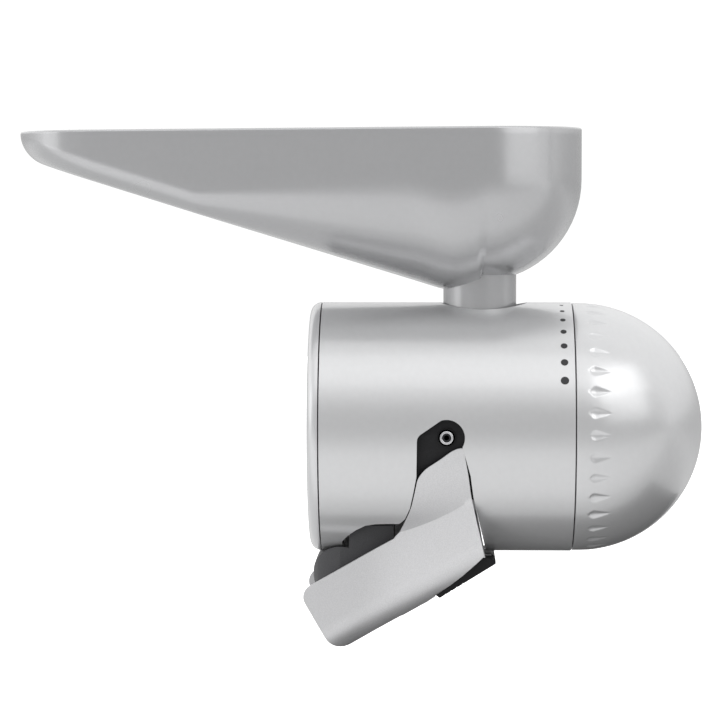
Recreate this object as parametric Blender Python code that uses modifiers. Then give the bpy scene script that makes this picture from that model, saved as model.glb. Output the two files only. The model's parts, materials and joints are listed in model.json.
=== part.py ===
"""Grain mill attachment for a stand mixer: a horizontal barrel with a round adjusting dome, a long
open hopper plugged in from above and a chute hanging below.

The origin is on the drive axis, in the plane of the rear face that meets the mixer.
+X runs along the drive axis to the dome, +Z is up, and the chute's outlet points to -X.
"""

import math

import bmesh
import bpy
from mathutils import Matrix, Vector

MM = 0.001
GAP = 0.3 * MM
SEAM = 0.45 * MM
FULL_TURN = 2 * math.pi

# Barrel, rear cover and dome
BODY_R = 50 * MM
WALL = 3 * MM
REAR_SEAM_X = 4.6 * MM
DOME_SEAM_X = 104.6 * MM
DOME_CENTRE_X = 107.4 * MM
DOME_R = 49.7 * MM
DOME_WALL = 2.6 * MM
REAR_FILLET = 4.0 * MM
CUP_R = 33 * MM
CUP_WALL = 2.5 * MM
CUP_FLOOR_X = 21 * MM
OUTER_SEGMENTS = 48
INNER_SEGMENTS = 24
SCREW_SEGMENTS = 10

# Drive line
SHANK_R = 15.75 * MM
SHANK_BORE_R = 12 * MM
SHAFT_R = 6 * MM
TANG = 9.5 * MM
STONE_R = 35 * MM
STONE_THICKNESS = 7.4 * MM
ROTOR_X = 36.3 * MM
STONE_GAP = 1.6 * MM
CHAMBER_R = 37.4 * MM
CHAMBER_WALL = 2 * MM
SLEEVE_R = 17 * MM
SLEEVE_BORE_R = 14 * MM
AUGER_R = 13.2 * MM
AUGER_START_X = 58 * MM
AUGER_END_X = 83 * MM
AUGER_CORE_R = 7.5 * MM
AUGER_BORE_R = 5.9 * MM
AUGER_TURNS = 1.25
REAR_SCREW_RING = 42 * MM
SHANK_SCREW_RING = 20.5 * MM
SHANK_SCREW_TURN = math.radians(83)
PAD_R = 46.5 * MM
SLEEVE_END_X = 106 * MM
RETAINER_X = 108.4 * MM
SOCKET_TOP_Z = 45.6 * MM
SOCKET_R = 17.4 * MM
SOCKET_FLOOR_Z = 37.6 * MM

# Hopper: its outline in plan is two circles joined by straight sides
HOPPER_BACK_X = 67.8 * MM
HOPPER_BACK_R = 40.8 * MM
HOPPER_TIP_X = -116.9 * MM
HOPPER_TIP_R = 33 * MM
HOPPER_RIM_Z = 119.2 * MM
HOPPER_RIM_SLOPE = 0.007
HOPPER_FLOOR_Z = 71.9 * MM
HOPPER_FLOOR_SLOPE = 0.312
HOPPER_BOWL_Z = 58.5 * MM
HOPPER_TIP_ROUND = 9 * MM
HOPPER_WALL = 2.2 * MM
STEM_R = 14.65 * MM
STEM_BORE_R = 12.4 * MM
STEM_BOTTOM_Z = 39.5 * MM

# Chute: its straight sides stand SPOUT_HALF_WIDTH apart at the outlet and spread towards the barrel
SPOUT_ANGLE = math.radians(30)
SPOUT_HEEL = Vector((10.74 * MM, -89.75 * MM))
SPOUT_DEPTH = 29.5 * MM
SPOUT_HALF_WIDTH = 27 * MM
SPOUT_SPREAD_X = 29.4 * MM
SPOUT_SPREAD = 0.456
SPOUT_WALL = 2.2 * MM
SPOUT_CORNER_R = 15 * MM
PIVOT = Vector((54.5 * MM, -1.1 * MM))
SLOT_ARCH_R = 7.1 * MM
SPOUT_EASE = 10 * MM
LATCH_AXIS = Vector((70.2 * MM, -53.0 * MM))
LATCH_HALF_WIDTH = 24 * MM
LATCH_PIN_R = 0.9 * MM
LATCH_PIN_HALF = 13 * MM
CHEEK_INSIDE = 22 * MM
TONGUE_HALF_WIDTH = 21.3 * MM
LUG_INSIDE = 9 * MM
LUG_OUTSIDE = 11.5 * MM
# The corner below this line, in millimetres of x and z, is cut off beside the latch
CHUTE_SIDE_CUT = (
    (45.0, -70.0),
    (50.0, -65.0),
    (55.5, -60.8),
    (60.8, -56.2),
    (66.5, -50.6),
    (70.6, -46.2),
    (80.0, -46.2),
    (80.0, -75.0),
    (45.0, -75.0),
)
GUARD_HALF_WIDTH = 22 * MM
GUARD_RISE_X = 15.9 * MM

SILVER = ("silver_paint", (0.60, 0.61, 0.62), 0.28, 0.55)
SATIN = ("satin_silver", (0.66, 0.66, 0.67), 0.42, 0.6)
BLACK = ("black_plastic", (0.02, 0.02, 0.022), 0.45, 0.0)
DARK = ("dark_plastic", (0.09, 0.09, 0.095), 0.5, 0.0)
STEEL = ("steel", (0.62, 0.62, 0.64), 0.3, 1.0)
CHROME = ("chrome", (0.8, 0.8, 0.82), 0.12, 1.0)
STONE = ("millstone", (0.78, 0.76, 0.72), 0.9, 0.0)
BRONZE = ("bronze", (0.62, 0.45, 0.22), 0.35, 1.0)
RUBBER = ("rubber", (0.03, 0.03, 0.03), 0.8, 0.0)
WHITE = ("feed_plastic", (0.75, 0.75, 0.73), 0.5, 0.0)


def clear_scene():
    for obj in list(bpy.data.objects):
        bpy.data.objects.remove(obj)


def new_collection(name):
    collection = bpy.data.collections.new(name)
    bpy.context.scene.collection.children.link(collection)
    return collection


clear_scene()
PARTS = new_collection("grain_mill")
CUTTERS = new_collection("cutters")


def material(finish):
    name, colour, roughness, metallic = finish
    found = bpy.data.materials.get(name)
    if found:
        return found
    made = bpy.data.materials.new(name)
    made.use_nodes = True
    shader = made.node_tree.nodes["Principled BSDF"]
    shader.inputs["Base Color"].default_value = (*colour, 1)
    shader.inputs["Roughness"].default_value = roughness
    shader.inputs["Metallic"].default_value = metallic
    return made


def piece(name, mesh, finish):
    """A named sub-part made from a mesh in world coordinates."""
    obj = bpy.data.objects.new(name, mesh)
    mesh.materials.append(material(finish))
    PARTS.objects.link(obj)
    return obj


def helper(name, mesh):
    """A shape that only cuts or joins another one."""
    obj = bpy.data.objects.new(name, mesh)
    obj.hide_render = True
    obj.display_type = "WIRE"
    CUTTERS.objects.link(obj)
    return obj


def combine(target, other, operation="DIFFERENCE"):
    modifier = target.modifiers.new(other.name, "BOOLEAN")
    modifier.operation = operation
    modifier.object = other
    return target


def mesh_of(bm, name):
    mesh = bpy.data.meshes.new(name)
    bmesh.ops.recalc_face_normals(bm, faces=bm.faces)
    bm.to_mesh(mesh)
    bm.free()
    return mesh


def facing(axis):
    """The rotation that turns +Z to axis."""
    return Vector(axis).to_track_quat("Z", "Y").to_matrix().to_4x4()


def rod(name, centre, axis, radius, length, segments=16):
    """A round bar centred on a point."""
    bm = bmesh.new()
    bmesh.ops.create_cone(
        bm,
        cap_ends=True,
        segments=segments,
        radius1=radius,
        radius2=radius,
        depth=length,
        matrix=Matrix.Translation(centre) @ facing(axis),
    )
    return mesh_of(bm, name)


def block(name, low, high):
    """A box between two corners."""
    low, high = Vector(low), Vector(high)
    bm = bmesh.new()
    place = Matrix.Translation((low + high) / 2) @ Matrix.Diagonal((*(high - low), 1))
    bmesh.ops.create_cube(bm, size=1, matrix=place)
    return mesh_of(bm, name)


def section_area(profile):
    ahead = profile[1:] + profile[:1]
    return sum(a[0] * b[1] - b[0] * a[1] for a, b in zip(profile, ahead)) / 2


def turned_mesh(name, profile):
    """The section of a turned shape: (x, radius) points in the XZ plane, closed if it misses the axis."""
    if section_area(profile) < 0:
        profile = profile[::-1]
    mesh = bpy.data.meshes.new(name)
    count = len(profile)
    edges = [(i, i + 1) for i in range(count - 1)]
    if not (profile[0][1] == 0 and profile[-1][1] == 0):
        edges.append((count - 1, 0))
    mesh.from_pydata([(x, 0, r) for x, r in profile], edges, [])
    return mesh


def spin(obj, segments):
    """Turns a section about the drive axis."""
    screw = obj.modifiers.new("turn", "SCREW")
    screw.axis = "X"
    screw.steps = segments
    screw.render_steps = segments
    screw.use_merge_vertices = True
    screw.merge_threshold = 0.00001
    screw.use_smooth_shade = False
    return obj


def turned(name, profile, finish, segments=INNER_SEGMENTS):
    """A solid of revolution about the drive axis."""
    return spin(piece(name, turned_mesh(name, profile), finish), segments)


def turned_helper(name, profile, segments=INNER_SEGMENTS):
    return spin(helper(name, turned_mesh(name, profile)), segments)


def ring(x0, x1, inner, outer):
    """The section of a plain ring."""
    return [(x0, inner), (x0, outer), (x1, outer), (x1, inner)]


def arc(centre, radius, start, end, count):
    """Points on an arc, angles in degrees, counter-clockwise from the first axis."""
    step = (end - start) / count
    angles = [math.radians(start + step * i) for i in range(count + 1)]
    return [
        (centre[0] + radius * math.cos(a), centre[1] + radius * math.sin(a)) for a in angles
    ]


def outline_mesh(name, outline, low, high):
    """A flat outline in the XZ plane, made solid from y = low to y = high."""
    curve = bpy.data.curves.new(name, "CURVE")
    curve.dimensions = "2D"
    curve.fill_mode = "BOTH"
    curve.extrude = (high - low) / 2
    spline = curve.splines.new("POLY")
    spline.points.add(len(outline) - 1)
    for point, (x, z) in zip(spline.points, outline):
        point.co = (x, z, 0, 1)
    spline.use_cyclic_u = True
    drawn = bpy.data.objects.new(name, curve)
    bpy.context.scene.collection.objects.link(drawn)
    bpy.context.view_layer.update()
    graph = bpy.context.evaluated_depsgraph_get()
    mesh = bpy.data.meshes.new_from_object(drawn.evaluated_get(graph))
    bpy.data.objects.remove(drawn)
    bpy.data.curves.remove(curve)
    stand = Matrix.Translation((0, (low + high) / 2, 0)) @ Matrix.Rotation(math.pi / 2, 4, "X")
    bm = bmesh.new()
    bm.from_mesh(mesh)
    bpy.data.meshes.remove(mesh)
    bmesh.ops.transform(bm, matrix=stand, verts=bm.verts)
    bmesh.ops.remove_doubles(bm, verts=bm.verts, dist=0.000001)
    return mesh_of(bm, name)


def loft(name, sections):
    """Joins rings of points, each ring closed on itself, and fills the two end rings."""
    bm = bmesh.new()
    rings = [[bm.verts.new(point) for point in section] for section in sections]
    count = len(rings[0])
    for near, far in zip(rings, rings[1:]):
        for i in range(count):
            j = (i + 1) % count
            bm.faces.new((near[i], near[j], far[j], far[i]))
    bm.faces.new(rings[0][::-1])
    bm.faces.new(rings[-1])
    return mesh_of(bm, name)


def empty(name, location):
    """A joint's axis, drawn as an empty."""
    axis = bpy.data.objects.new(name, None)
    axis.location = location
    axis.empty_display_size = 10 * MM
    PARTS.objects.link(axis)
    return axis


def hang(axis, *pieces):
    """Parents pieces to a joint's empty and leaves them where they are."""
    for obj in pieces:
        obj.parent = axis
        obj.matrix_parent_inverse = Matrix.Translation(axis.location).inverted()


def screw_mesh(name, head_r, head_h, shank_r, length):
    """A pan-head screw on +Z, with its head's underside at the origin."""
    bm = bmesh.new()
    profile = [
        (0, head_h),
        (0.72 * head_r, head_h),
        (head_r, 0.55 * head_h),
        (head_r, 0),
        (shank_r, 0),
        (shank_r, -length),
        (0, -length),
    ]
    points = [bm.verts.new((r, 0, z)) for r, z in profile]
    edges = [bm.edges.new(pair) for pair in zip(points, points[1:])]
    bmesh.ops.spin(
        bm,
        geom=points + edges,
        axis=(0, 0, 1),
        cent=(0, 0, 0),
        steps=SCREW_SEGMENTS,
        angle=FULL_TURN,
    )
    bmesh.ops.remove_doubles(bm, verts=bm.verts, dist=0.000001)
    return mesh_of(bm, name)


def screw(name, place, axis, head_r, head_h, shank_r, length, finish=STEEL):
    """One screw, its head's underside at place, its head pointing along axis."""
    obj = piece(name, screw_mesh(name, head_r, head_h, shank_r, length), finish)
    obj.matrix_world = Matrix.Translation(place) @ facing(axis)
    return obj


def around(count, radius, x, start=0.0):
    """Places evenly spaced on a circle about the drive axis."""
    angles = [start + FULL_TURN * i / count for i in range(count)]
    return [Vector((x, radius * math.cos(a), radius * math.sin(a))) for a in angles]


# ---------------------------------------------------------------- barrel


def slot_outline(gap):
    """The opening for the chute, seen from the side: an arch over each side screw that widens downwards."""
    arch = arc(PIVOT, SLOT_ARCH_R, -20, 108, 8)
    shoulder = arc((46.6 * MM, -2.6 * MM), 3.6 * MM, 118, 180, 4)
    left = [(42.8, -16.5), (41.6, -23.0), (40.2, -29.5), (38.2, -34.0), (36.0, -36.0)]
    ledge = [(26.4, -36.2), (22.5, -36.9), (19.0, -38.8), (15.6, -41.4), (13.2, -44.2), (13.2, -70.0)]
    ledge += [(71.2, -70.0), (70.9, -52.0)]
    right = [(69.9, -48.8), (68.0, -40.0), (64.5, -24.4), (63.4, -16.0)]
    low = [(x * MM, z * MM) for x, z in left + ledge]
    high = [(x * MM + gap, z * MM) for x, z in right]
    return arch + shoulder + low + high


def make_housing():
    """The barrel: a plain tube with the chute's opening below and the stem's opening above."""
    inner = BODY_R - WALL
    section = ring(REAR_SEAM_X + SEAM / 2, DOME_SEAM_X - SEAM / 2, inner, BODY_R)
    housing = turned("housing", section, SILVER, OUTER_SEGMENTS)
    for i, place in enumerate(around(4, REAR_SCREW_RING, 12.6 * MM, math.radians(45))):
        boss = helper(f"rear_boss_{i}", rod("boss", place, (1, 0, 0), 5.2 * MM, 15 * MM))
        combine(housing, boss, "UNION")
        hole = helper(f"rear_hole_{i}", rod("hole", place, (1, 0, 0), 1.9 * MM, 18 * MM, 10))
        combine(housing, hole)
    slot = outline_mesh("chute_opening", slot_outline(SEAM), -60 * MM, 60 * MM)
    combine(housing, helper("chute_opening", slot))
    mouth = rod("stem_opening", (0, 0, 0), (0, 0, 1), 1, 30 * MM, 32)
    stretch = Matrix.Diagonal((17.6 * MM, 15.1 * MM, 1, 1))
    mouth.transform(Matrix.Translation((69.4 * MM, 0, 48 * MM)) @ stretch)
    combine(housing, helper("stem_opening", mouth))
    return housing


def make_rear_cover():
    """The rear face, with the cup that takes the mixer's hub nose and the boss for the bearing."""
    section = [
        (0, CUP_R),
        (0, BODY_R - REAR_FILLET),
        *arc((REAR_FILLET, BODY_R - REAR_FILLET), REAR_FILLET, 150, 90, 2),
        (REAR_SEAM_X - SEAM / 2, BODY_R - 0.01 * MM),
        (REAR_SEAM_X - SEAM / 2, CUP_R + CUP_WALL),
        (CUP_FLOOR_X + 3 * MM, CUP_R + CUP_WALL),
        (CUP_FLOOR_X + 3 * MM, 15 * MM),
        (33.5 * MM, 15 * MM),
        (33.5 * MM, 11.3 * MM),
        (22.4 * MM, 11.3 * MM),
        (22.4 * MM, 8.6 * MM),
        (CUP_FLOOR_X, 8.6 * MM),
        (CUP_FLOOR_X, CUP_R),
    ]
    cover = turned("rear_cover", section, SILVER, OUTER_SEGMENTS)
    for i, place in enumerate(around(4, REAR_SCREW_RING, 0, math.radians(45))):
        hole = rod("hole", place, (1, 0, 0), 1.9 * MM, 20 * MM, 10)
        combine(cover, helper(f"cover_hole_{i}", hole))
        seat = rod("seat", place, (1, 0, 0), 3.6 * MM, 4.4 * MM, 12)
        combine(cover, helper(f"cover_seat_{i}", seat))
    for i, place in enumerate(around(3, SHANK_SCREW_RING, CUP_FLOOR_X, SHANK_SCREW_TURN)):
        hole = rod("hole", place, (1, 0, 0), 1.7 * MM, 12 * MM, 10)
        combine(cover, helper(f"shank_hole_{i}", hole))
    return cover


def make_rear_screws():
    places = around(4, REAR_SCREW_RING, 2.2 * MM - GAP, math.radians(45))
    for i, place in enumerate(places):
        screw(f"rear_screw_{i + 1}", place, (-1, 0, 0), 3.2 * MM, 1.7 * MM, 1.5 * MM, 14 * MM)
    places = around(3, SHANK_SCREW_RING, 17.4 * MM, SHANK_SCREW_TURN)
    for i, place in enumerate(places):
        screw(f"shank_screw_{i + 1}", place, (-1, 0, 0), 2.7 * MM, 1.5 * MM, 1.3 * MM, 6 * MM)


def make_shank():
    """The hollow shank that the mixer's hub clamps, with its flange screwed to the cup's floor."""
    section = [
        (0.6 * MM, SHANK_BORE_R),
        (0.6 * MM, SHANK_R - 1 * MM),
        (1.6 * MM, SHANK_R),
        (17.7 * MM, SHANK_R),
        (17.7 * MM, 24.5 * MM),
        (CUP_FLOOR_X - GAP, 24.5 * MM),
        (CUP_FLOOR_X - GAP, SHANK_BORE_R),
    ]
    shank = turned("mounting_shank", section, STEEL, 32)
    dimple = rod("hub_screw_dimple", (9 * MM, 0, SHANK_R), (0, 0, 1), 3.2 * MM, 3 * MM, 12)
    combine(shank, helper("hub_screw_dimple", dimple))
    for i, place in enumerate(around(3, SHANK_SCREW_RING, CUP_FLOOR_X, SHANK_SCREW_TURN)):
        hole = rod("hole", place, (1, 0, 0), 1.7 * MM, 9 * MM, 10)
        combine(shank, helper(f"flange_hole_{i}", hole))
    return shank


# ---------------------------------------------------------------- drive line


def make_drive_line(axis):
    """The shaft with its square tang, and everything that turns with it."""
    rotor_end = ROTOR_X + 3 * MM
    shaft = turned(
        "drive_shaft",
        [
            (12 * MM, 0),
            (12 * MM, SHAFT_R),
            (19.2 * MM, SHAFT_R),
            (19.2 * MM, SHAFT_R - 1 * MM),
            (20.6 * MM, SHAFT_R - 1 * MM),
            (20.6 * MM, SHAFT_R),
            (33.9 * MM, SHAFT_R),
            (33.9 * MM, 9 * MM),
            (ROTOR_X - GAP, 9 * MM),
            (ROTOR_X - GAP, 5 * MM),
            (90 * MM, 5 * MM),
            (90 * MM, 0),
        ],
        STEEL,
    )
    half = TANG / 2
    tang = helper("tang", block("tang", (1.5 * MM, -half, -half), (13 * MM, half, half)))
    combine(shaft, tang, "UNION")
    key = block("key", (ROTOR_X - 1 * MM, -1.5 * MM, 2 * MM), (rotor_end + 8 * MM, 1.5 * MM, 6.6 * MM))
    combine(shaft, helper("shaft_key", key), "UNION")

    circlip = turned("shaft_circlip", ring(19.5 * MM, 20.3 * MM, 5.3 * MM, 8 * MM), STEEL, 16)
    opening = block("clip_gap", (19 * MM, -1.6 * MM, 4 * MM), (21 * MM, 1.6 * MM, 9 * MM))
    combine(circlip, helper("clip_gap", opening))

    carrier = turned("rotor_plate", ring(ROTOR_X, rotor_end, 5.4 * MM, 33 * MM), STEEL)
    keyway = block("keyway", (ROTOR_X - 1 * MM, -1.8 * MM, 4 * MM), (rotor_end + 1 * MM, 1.8 * MM, 7 * MM))
    combine(carrier, helper("rotor_keyway", keyway))

    stone_x = rotor_end + GAP
    stone = turned("rotating_stone", ring(stone_x, stone_x + STONE_THICKNESS, 9 * MM, STONE_R), STONE)
    for i in range(6):
        groove = block("groove", (-1.2 * MM, 12 * MM, -1.4 * MM), (1.2 * MM, 40 * MM, 1.4 * MM))
        turn = Matrix.Rotation(FULL_TURN * i / 6, 4, "X")
        groove.transform(Matrix.Translation((stone_x + STONE_THICKNESS, 0, 0)) @ turn)
        combine(stone, helper(f"rotor_groove_{i}", groove))

    auger = piece("feed_auger", auger_mesh(), WHITE)
    hang(axis, shaft, circlip, carrier, stone, auger)


def auger_mesh():
    """The two-start feed screw: an oval section that twists along the shaft, with a round bore."""
    steps = 10
    sides = 12
    bm = bmesh.new()
    rings = []
    for radius_at in (auger_radius, lambda angle: AUGER_BORE_R):
        layers = []
        for step in range(steps + 1):
            share = step / steps
            x = AUGER_START_X + (AUGER_END_X - AUGER_START_X) * share
            twist = FULL_TURN * AUGER_TURNS * share
            layer = []
            for i in range(sides):
                angle = FULL_TURN * i / sides
                r = radius_at(angle)
                place = (x, r * math.cos(angle + twist), r * math.sin(angle + twist))
                layer.append(bm.verts.new(place))
            layers.append(layer)
        rings.append(layers)
    for layers in rings:
        for near, far in zip(layers, layers[1:]):
            for i in range(sides):
                j = (i + 1) % sides
                bm.faces.new((near[i], near[j], far[j], far[i]))
    for end in (0, -1):
        outside, inside = rings[0][end], rings[1][end]
        for i in range(sides):
            j = (i + 1) % sides
            bm.faces.new((outside[i], outside[j], inside[j], inside[i]))
    return mesh_of(bm, "feed_auger")


def auger_radius(angle):
    """Two lobes that reach AUGER_R."""
    return AUGER_CORE_R + (AUGER_R - AUGER_CORE_R) * abs(math.cos(angle)) ** 3


# ---------------------------------------------------------------- milling chamber


def make_chamber():
    """The black chamber round the stones. Its side pads fill the barrel's slots and take the side screws."""
    outer = CHAMBER_R + CHAMBER_WALL
    section = [
        (31 * MM, 15.4 * MM),
        (31 * MM, outer),
        (62 * MM, outer),
        (62 * MM, CHAMBER_R),
        (33 * MM, CHAMBER_R),
        (33 * MM, 15.4 * MM),
    ]
    chamber = turned("milling_chamber", section, BLACK, 32)
    pad_outline = [(40.6, 8.0), (68.6, 8.0), (68.6, -26.0), (40.6, -26.0)]
    pads = outline_mesh("pads", [(x * MM, z * MM) for x, z in pad_outline], -60 * MM, 60 * MM)
    pads = helper("chamber_pads", pads)
    pad_shell = turned_helper("pad_shell", ring(38 * MM, 72 * MM, 43.6 * MM, PAD_R), OUTER_SEGMENTS)
    combine(pads, pad_shell, "INTERSECT")
    combine(chamber, pads, "UNION")
    for side in (-1, 1):
        place = (PIVOT.x, side * 41.6 * MM, PIVOT.y)
        post = helper(f"pad_post_{side}", rod("post", place, (0, 1, 0), 5 * MM, 7.6 * MM, 12))
        combine(chamber, post, "UNION")
        for end in (43, 60):
            low = (end * MM, min(side * 38.6 * MM, side * 44.6 * MM), 4 * MM)
            high = (end * MM + 2.5 * MM, max(side * 38.6 * MM, side * 44.6 * MM), 7 * MM)
            rib = helper(f"pad_rib_{side}_{end}", block("rib", low, high))
            combine(chamber, rib, "UNION")
    holes = rod("side_screw_holes", (PIVOT.x, 0, PIVOT.y), (0, 1, 0), 1.8 * MM, 120 * MM, 12)
    combine(chamber, helper("side_screw_holes", holes))
    room = rod("socket_room", (HOPPER_BACK_X, 0, 42 * MM), (0, 0, 1), SOCKET_R + GAP, 18 * MM, 32)
    combine(chamber, helper("socket_room", room))
    room = block("throat_room", (59.6 * MM, -14.4 * MM, 10 * MM), (70 * MM, 14.4 * MM, 50 * MM))
    combine(chamber, helper("throat_room", room))
    outlet = block("flour_outlet", (36 * MM, -24 * MM, -50 * MM), (70 * MM, 24 * MM, -20 * MM))
    combine(chamber, helper("flour_outlet", outlet))
    for side, name in ((-1, "near"), (1, "far")):
        place = (PIVOT.x, side * (PAD_R + GAP), PIVOT.y)
        screw(f"side_screw_{name}", place, (0, side, 0), 2.65 * MM, 1.7 * MM, 1.4 * MM, 7.5 * MM, CHROME)
    return chamber


def make_stone_slide(axis):
    """The stone that doesn't turn, on a sleeve that the dome moves along the drive axis."""
    stone_x = ROTOR_X + 3 * MM + GAP + STONE_THICKNESS + STONE_GAP
    plate_x = stone_x + STONE_THICKNESS + GAP
    stone = turned("fixed_stone", ring(stone_x, stone_x + STONE_THICKNESS, 14.4 * MM, STONE_R), STONE)
    for i in range(6):
        groove = block("groove", (-1.2 * MM, 16 * MM, -1.4 * MM), (1.2 * MM, 40 * MM, 1.4 * MM))
        turn = Matrix.Rotation(FULL_TURN * (i + 0.5) / 6, 4, "X")
        groove.transform(Matrix.Translation((stone_x, 0, 0)) @ turn)
        combine(stone, helper(f"fixed_groove_{i}", groove))
    section = [
        (plate_x, SLEEVE_BORE_R),
        (plate_x, 36.6 * MM),
        (plate_x + 2.5 * MM, 36.6 * MM),
        (plate_x + 2.5 * MM, SLEEVE_R),
        (SLEEVE_END_X, SLEEVE_R),
        (SLEEVE_END_X, SLEEVE_BORE_R),
    ]
    sleeve = turned("stone_sleeve", section, WHITE)
    window = block("inlet", (63 * MM, -10 * MM, 5 * MM), (80 * MM, 10 * MM, 30 * MM))
    combine(sleeve, helper("sleeve_inlet", window))
    bush = turned("shaft_bush", ring(84.8 * MM, 89.6 * MM, 5.06 * MM, SLEEVE_BORE_R - GAP), BRONZE)
    hang(axis, stone, sleeve, bush)


def make_fixed_inner_parts():
    """Bearing, seal, feed socket, guide plate and the dome's retaining ring."""
    turned("rear_bearing", ring(22.7 * MM, 29.4 * MM, SHAFT_R + 0.06 * MM, 11 * MM), STEEL)
    turned("shaft_seal", ring(29.7 * MM, 33.2 * MM, SHAFT_R + GAP, 11 * MM), RUBBER)

    make_feed_socket()
    plate = turned("guide_plate", ring(94 * MM, 97 * MM, SLEEVE_R + GAP, BODY_R - WALL - GAP), WHITE, 32)
    boss = turned_helper("guide_boss", ring(96 * MM, RETAINER_X - GAP, 26 * MM, 35.5 * MM), 32)
    combine(plate, boss, "UNION")
    retainer = turned("dome_retainer", ring(RETAINER_X, RETAINER_X + 2 * MM, 26 * MM, 39.5 * MM), STEEL, 32)
    for i, place in enumerate(around(3, 31 * MM, RETAINER_X, 0)):
        for target in (plate, retainer):
            hole = rod("hole", place, (1, 0, 0), 1.7 * MM, 12 * MM, 10)
            combine(target, helper(f"{target.name}_hole_{i}", hole))
        place.x = RETAINER_X + 2 * MM + GAP
        screw(f"retainer_screw_{i + 1}", place, (1, 0, 0), 2.7 * MM, 1.5 * MM, 1.3 * MM, 6 * MM)


def make_feed_socket():
    """The cup that holds the hopper's stem, with the throat that leads the grain down to the sleeve."""
    middle = Vector((HOPPER_BACK_X, 0, (SOCKET_FLOOR_Z + SOCKET_TOP_Z) / 2))
    cup = rod("feed_socket", middle, (0, 0, 1), SOCKET_R, SOCKET_TOP_Z - SOCKET_FLOOR_Z, 32)
    socket = piece("feed_socket", cup, WHITE)
    throat = block("throat", (60 * MM, -14 * MM, 12 * MM), (82.6 * MM, 14 * MM, SOCKET_FLOOR_Z + 1 * MM))
    combine(socket, helper("socket_throat", throat), "UNION")
    seat_z = STEM_BOTTOM_Z - GAP
    seat = rod("seat", (HOPPER_BACK_X, 0, seat_z + 10 * MM), (0, 0, 1), STEM_R + GAP, 20 * MM, 32)
    combine(socket, helper("socket_seat", seat))
    way = block("way", (62 * MM, -12 * MM, 5 * MM), (80.6 * MM, 12 * MM, 46 * MM))
    combine(socket, helper("socket_way", way))
    inside = rod("barrel_inside", (70 * MM, 0, 0), (1, 0, 0), BODY_R - WALL - GAP, 60 * MM, OUTER_SEGMENTS)
    combine(socket, helper("barrel_inside", inside), "INTERSECT")
    room = rod("sleeve_room", (70 * MM, 0, 0), (1, 0, 0), SLEEVE_R + GAP, 60 * MM, 24)
    combine(socket, helper("sleeve_room", room))
    return socket


# ---------------------------------------------------------------- dome


def make_dome(axis):
    """The adjusting dome: a half sphere with a ring of grip dimples, its back plate and its spindle."""
    start = DOME_SEAM_X + SEAM / 2
    centre = (DOME_CENTRE_X, 0)
    outside = arc(centre, DOME_R, 90, 0, 9)
    inside = arc(centre, DOME_R - DOME_WALL, 0, 90, 6)
    section = [(start, DOME_R), *outside[:-1], (DOME_CENTRE_X + DOME_R, 0)]
    section += [(DOME_CENTRE_X + DOME_R - DOME_WALL, 0), *inside[1:], (start, DOME_R - DOME_WALL)]
    dome = turned("dome_knob", section, SILVER, OUTER_SEGMENTS)
    plate = turned("dome_back_plate", ring(105.8 * MM, 107.8 * MM, 36 * MM, 46.7 * MM), WHITE, 32)
    boss = turned_helper("spindle_boss", ring(140 * MM, 153.6 * MM, 6.4 * MM, 12 * MM))
    combine(dome, boss, "UNION")
    section = [
        (92 * MM, 0),
        (92 * MM, 13.6 * MM),
        (124 * MM, 13.6 * MM),
        (124 * MM, 6 * MM),
        (150 * MM, 6 * MM),
        (150 * MM, 0),
    ]
    spindle = turned("dome_spindle", section, STEEL)
    hang(axis, dome, plate, spindle)


# ---------------------------------------------------------------- hopper


def floor_height(x):
    """The hopper's underside on its centre line: a slope that levels out into the bowl."""
    slope = HOPPER_FLOOR_Z - HOPPER_FLOOR_SLOPE * x
    share = min(max((x - 50 * MM) / (25 * MM), 0), 1)
    ease = share * share * (3 - 2 * share)
    return slope + (HOPPER_BOWL_Z - slope) * ease if x < HOPPER_BACK_X else HOPPER_BOWL_Z


def rim_height(x):
    return HOPPER_RIM_Z + HOPPER_RIM_SLOPE * x


def hopper_stations(straight, tip, back):
    """Round the outline in plan: each station is (centre x, radius, direction)."""
    tip_x = HOPPER_TIP_X + HOPPER_TIP_R
    lean = math.asin((HOPPER_BACK_R - HOPPER_TIP_R) / (HOPPER_BACK_X - tip_x))
    low = math.pi / 2 + lean
    stations = []
    for i in range(straight):
        share = i / straight
        stations.append((tip_x, HOPPER_BACK_X, share, -low))
    for i in range(back):
        stations.append((tip_x, HOPPER_BACK_X, 1, -low + 2 * low * i / back))
    for i in range(straight):
        stations.append((tip_x, HOPPER_BACK_X, 1 - i / straight, low))
    for i in range(tip):
        stations.append((tip_x, HOPPER_BACK_X, 0, low + (FULL_TURN - 2 * low) * i / tip))
    made = []
    for start, end, share, angle in stations:
        centre = start + (end - start) * share
        radius = HOPPER_TIP_R + (HOPPER_BACK_R - HOPPER_TIP_R) * share
        made.append((centre, radius, Vector((math.cos(angle), math.sin(angle)))))
    return made


def corner_radius(centre, radius):
    """The rounding between wall and floor: small at the tip, and a full half circle over the stem."""
    share = min(max((centre + 42 * MM) / (88 * MM), 0), 1)
    return min(HOPPER_TIP_ROUND + (HOPPER_BACK_R - HOPPER_TIP_ROUND) * share, radius)


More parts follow.
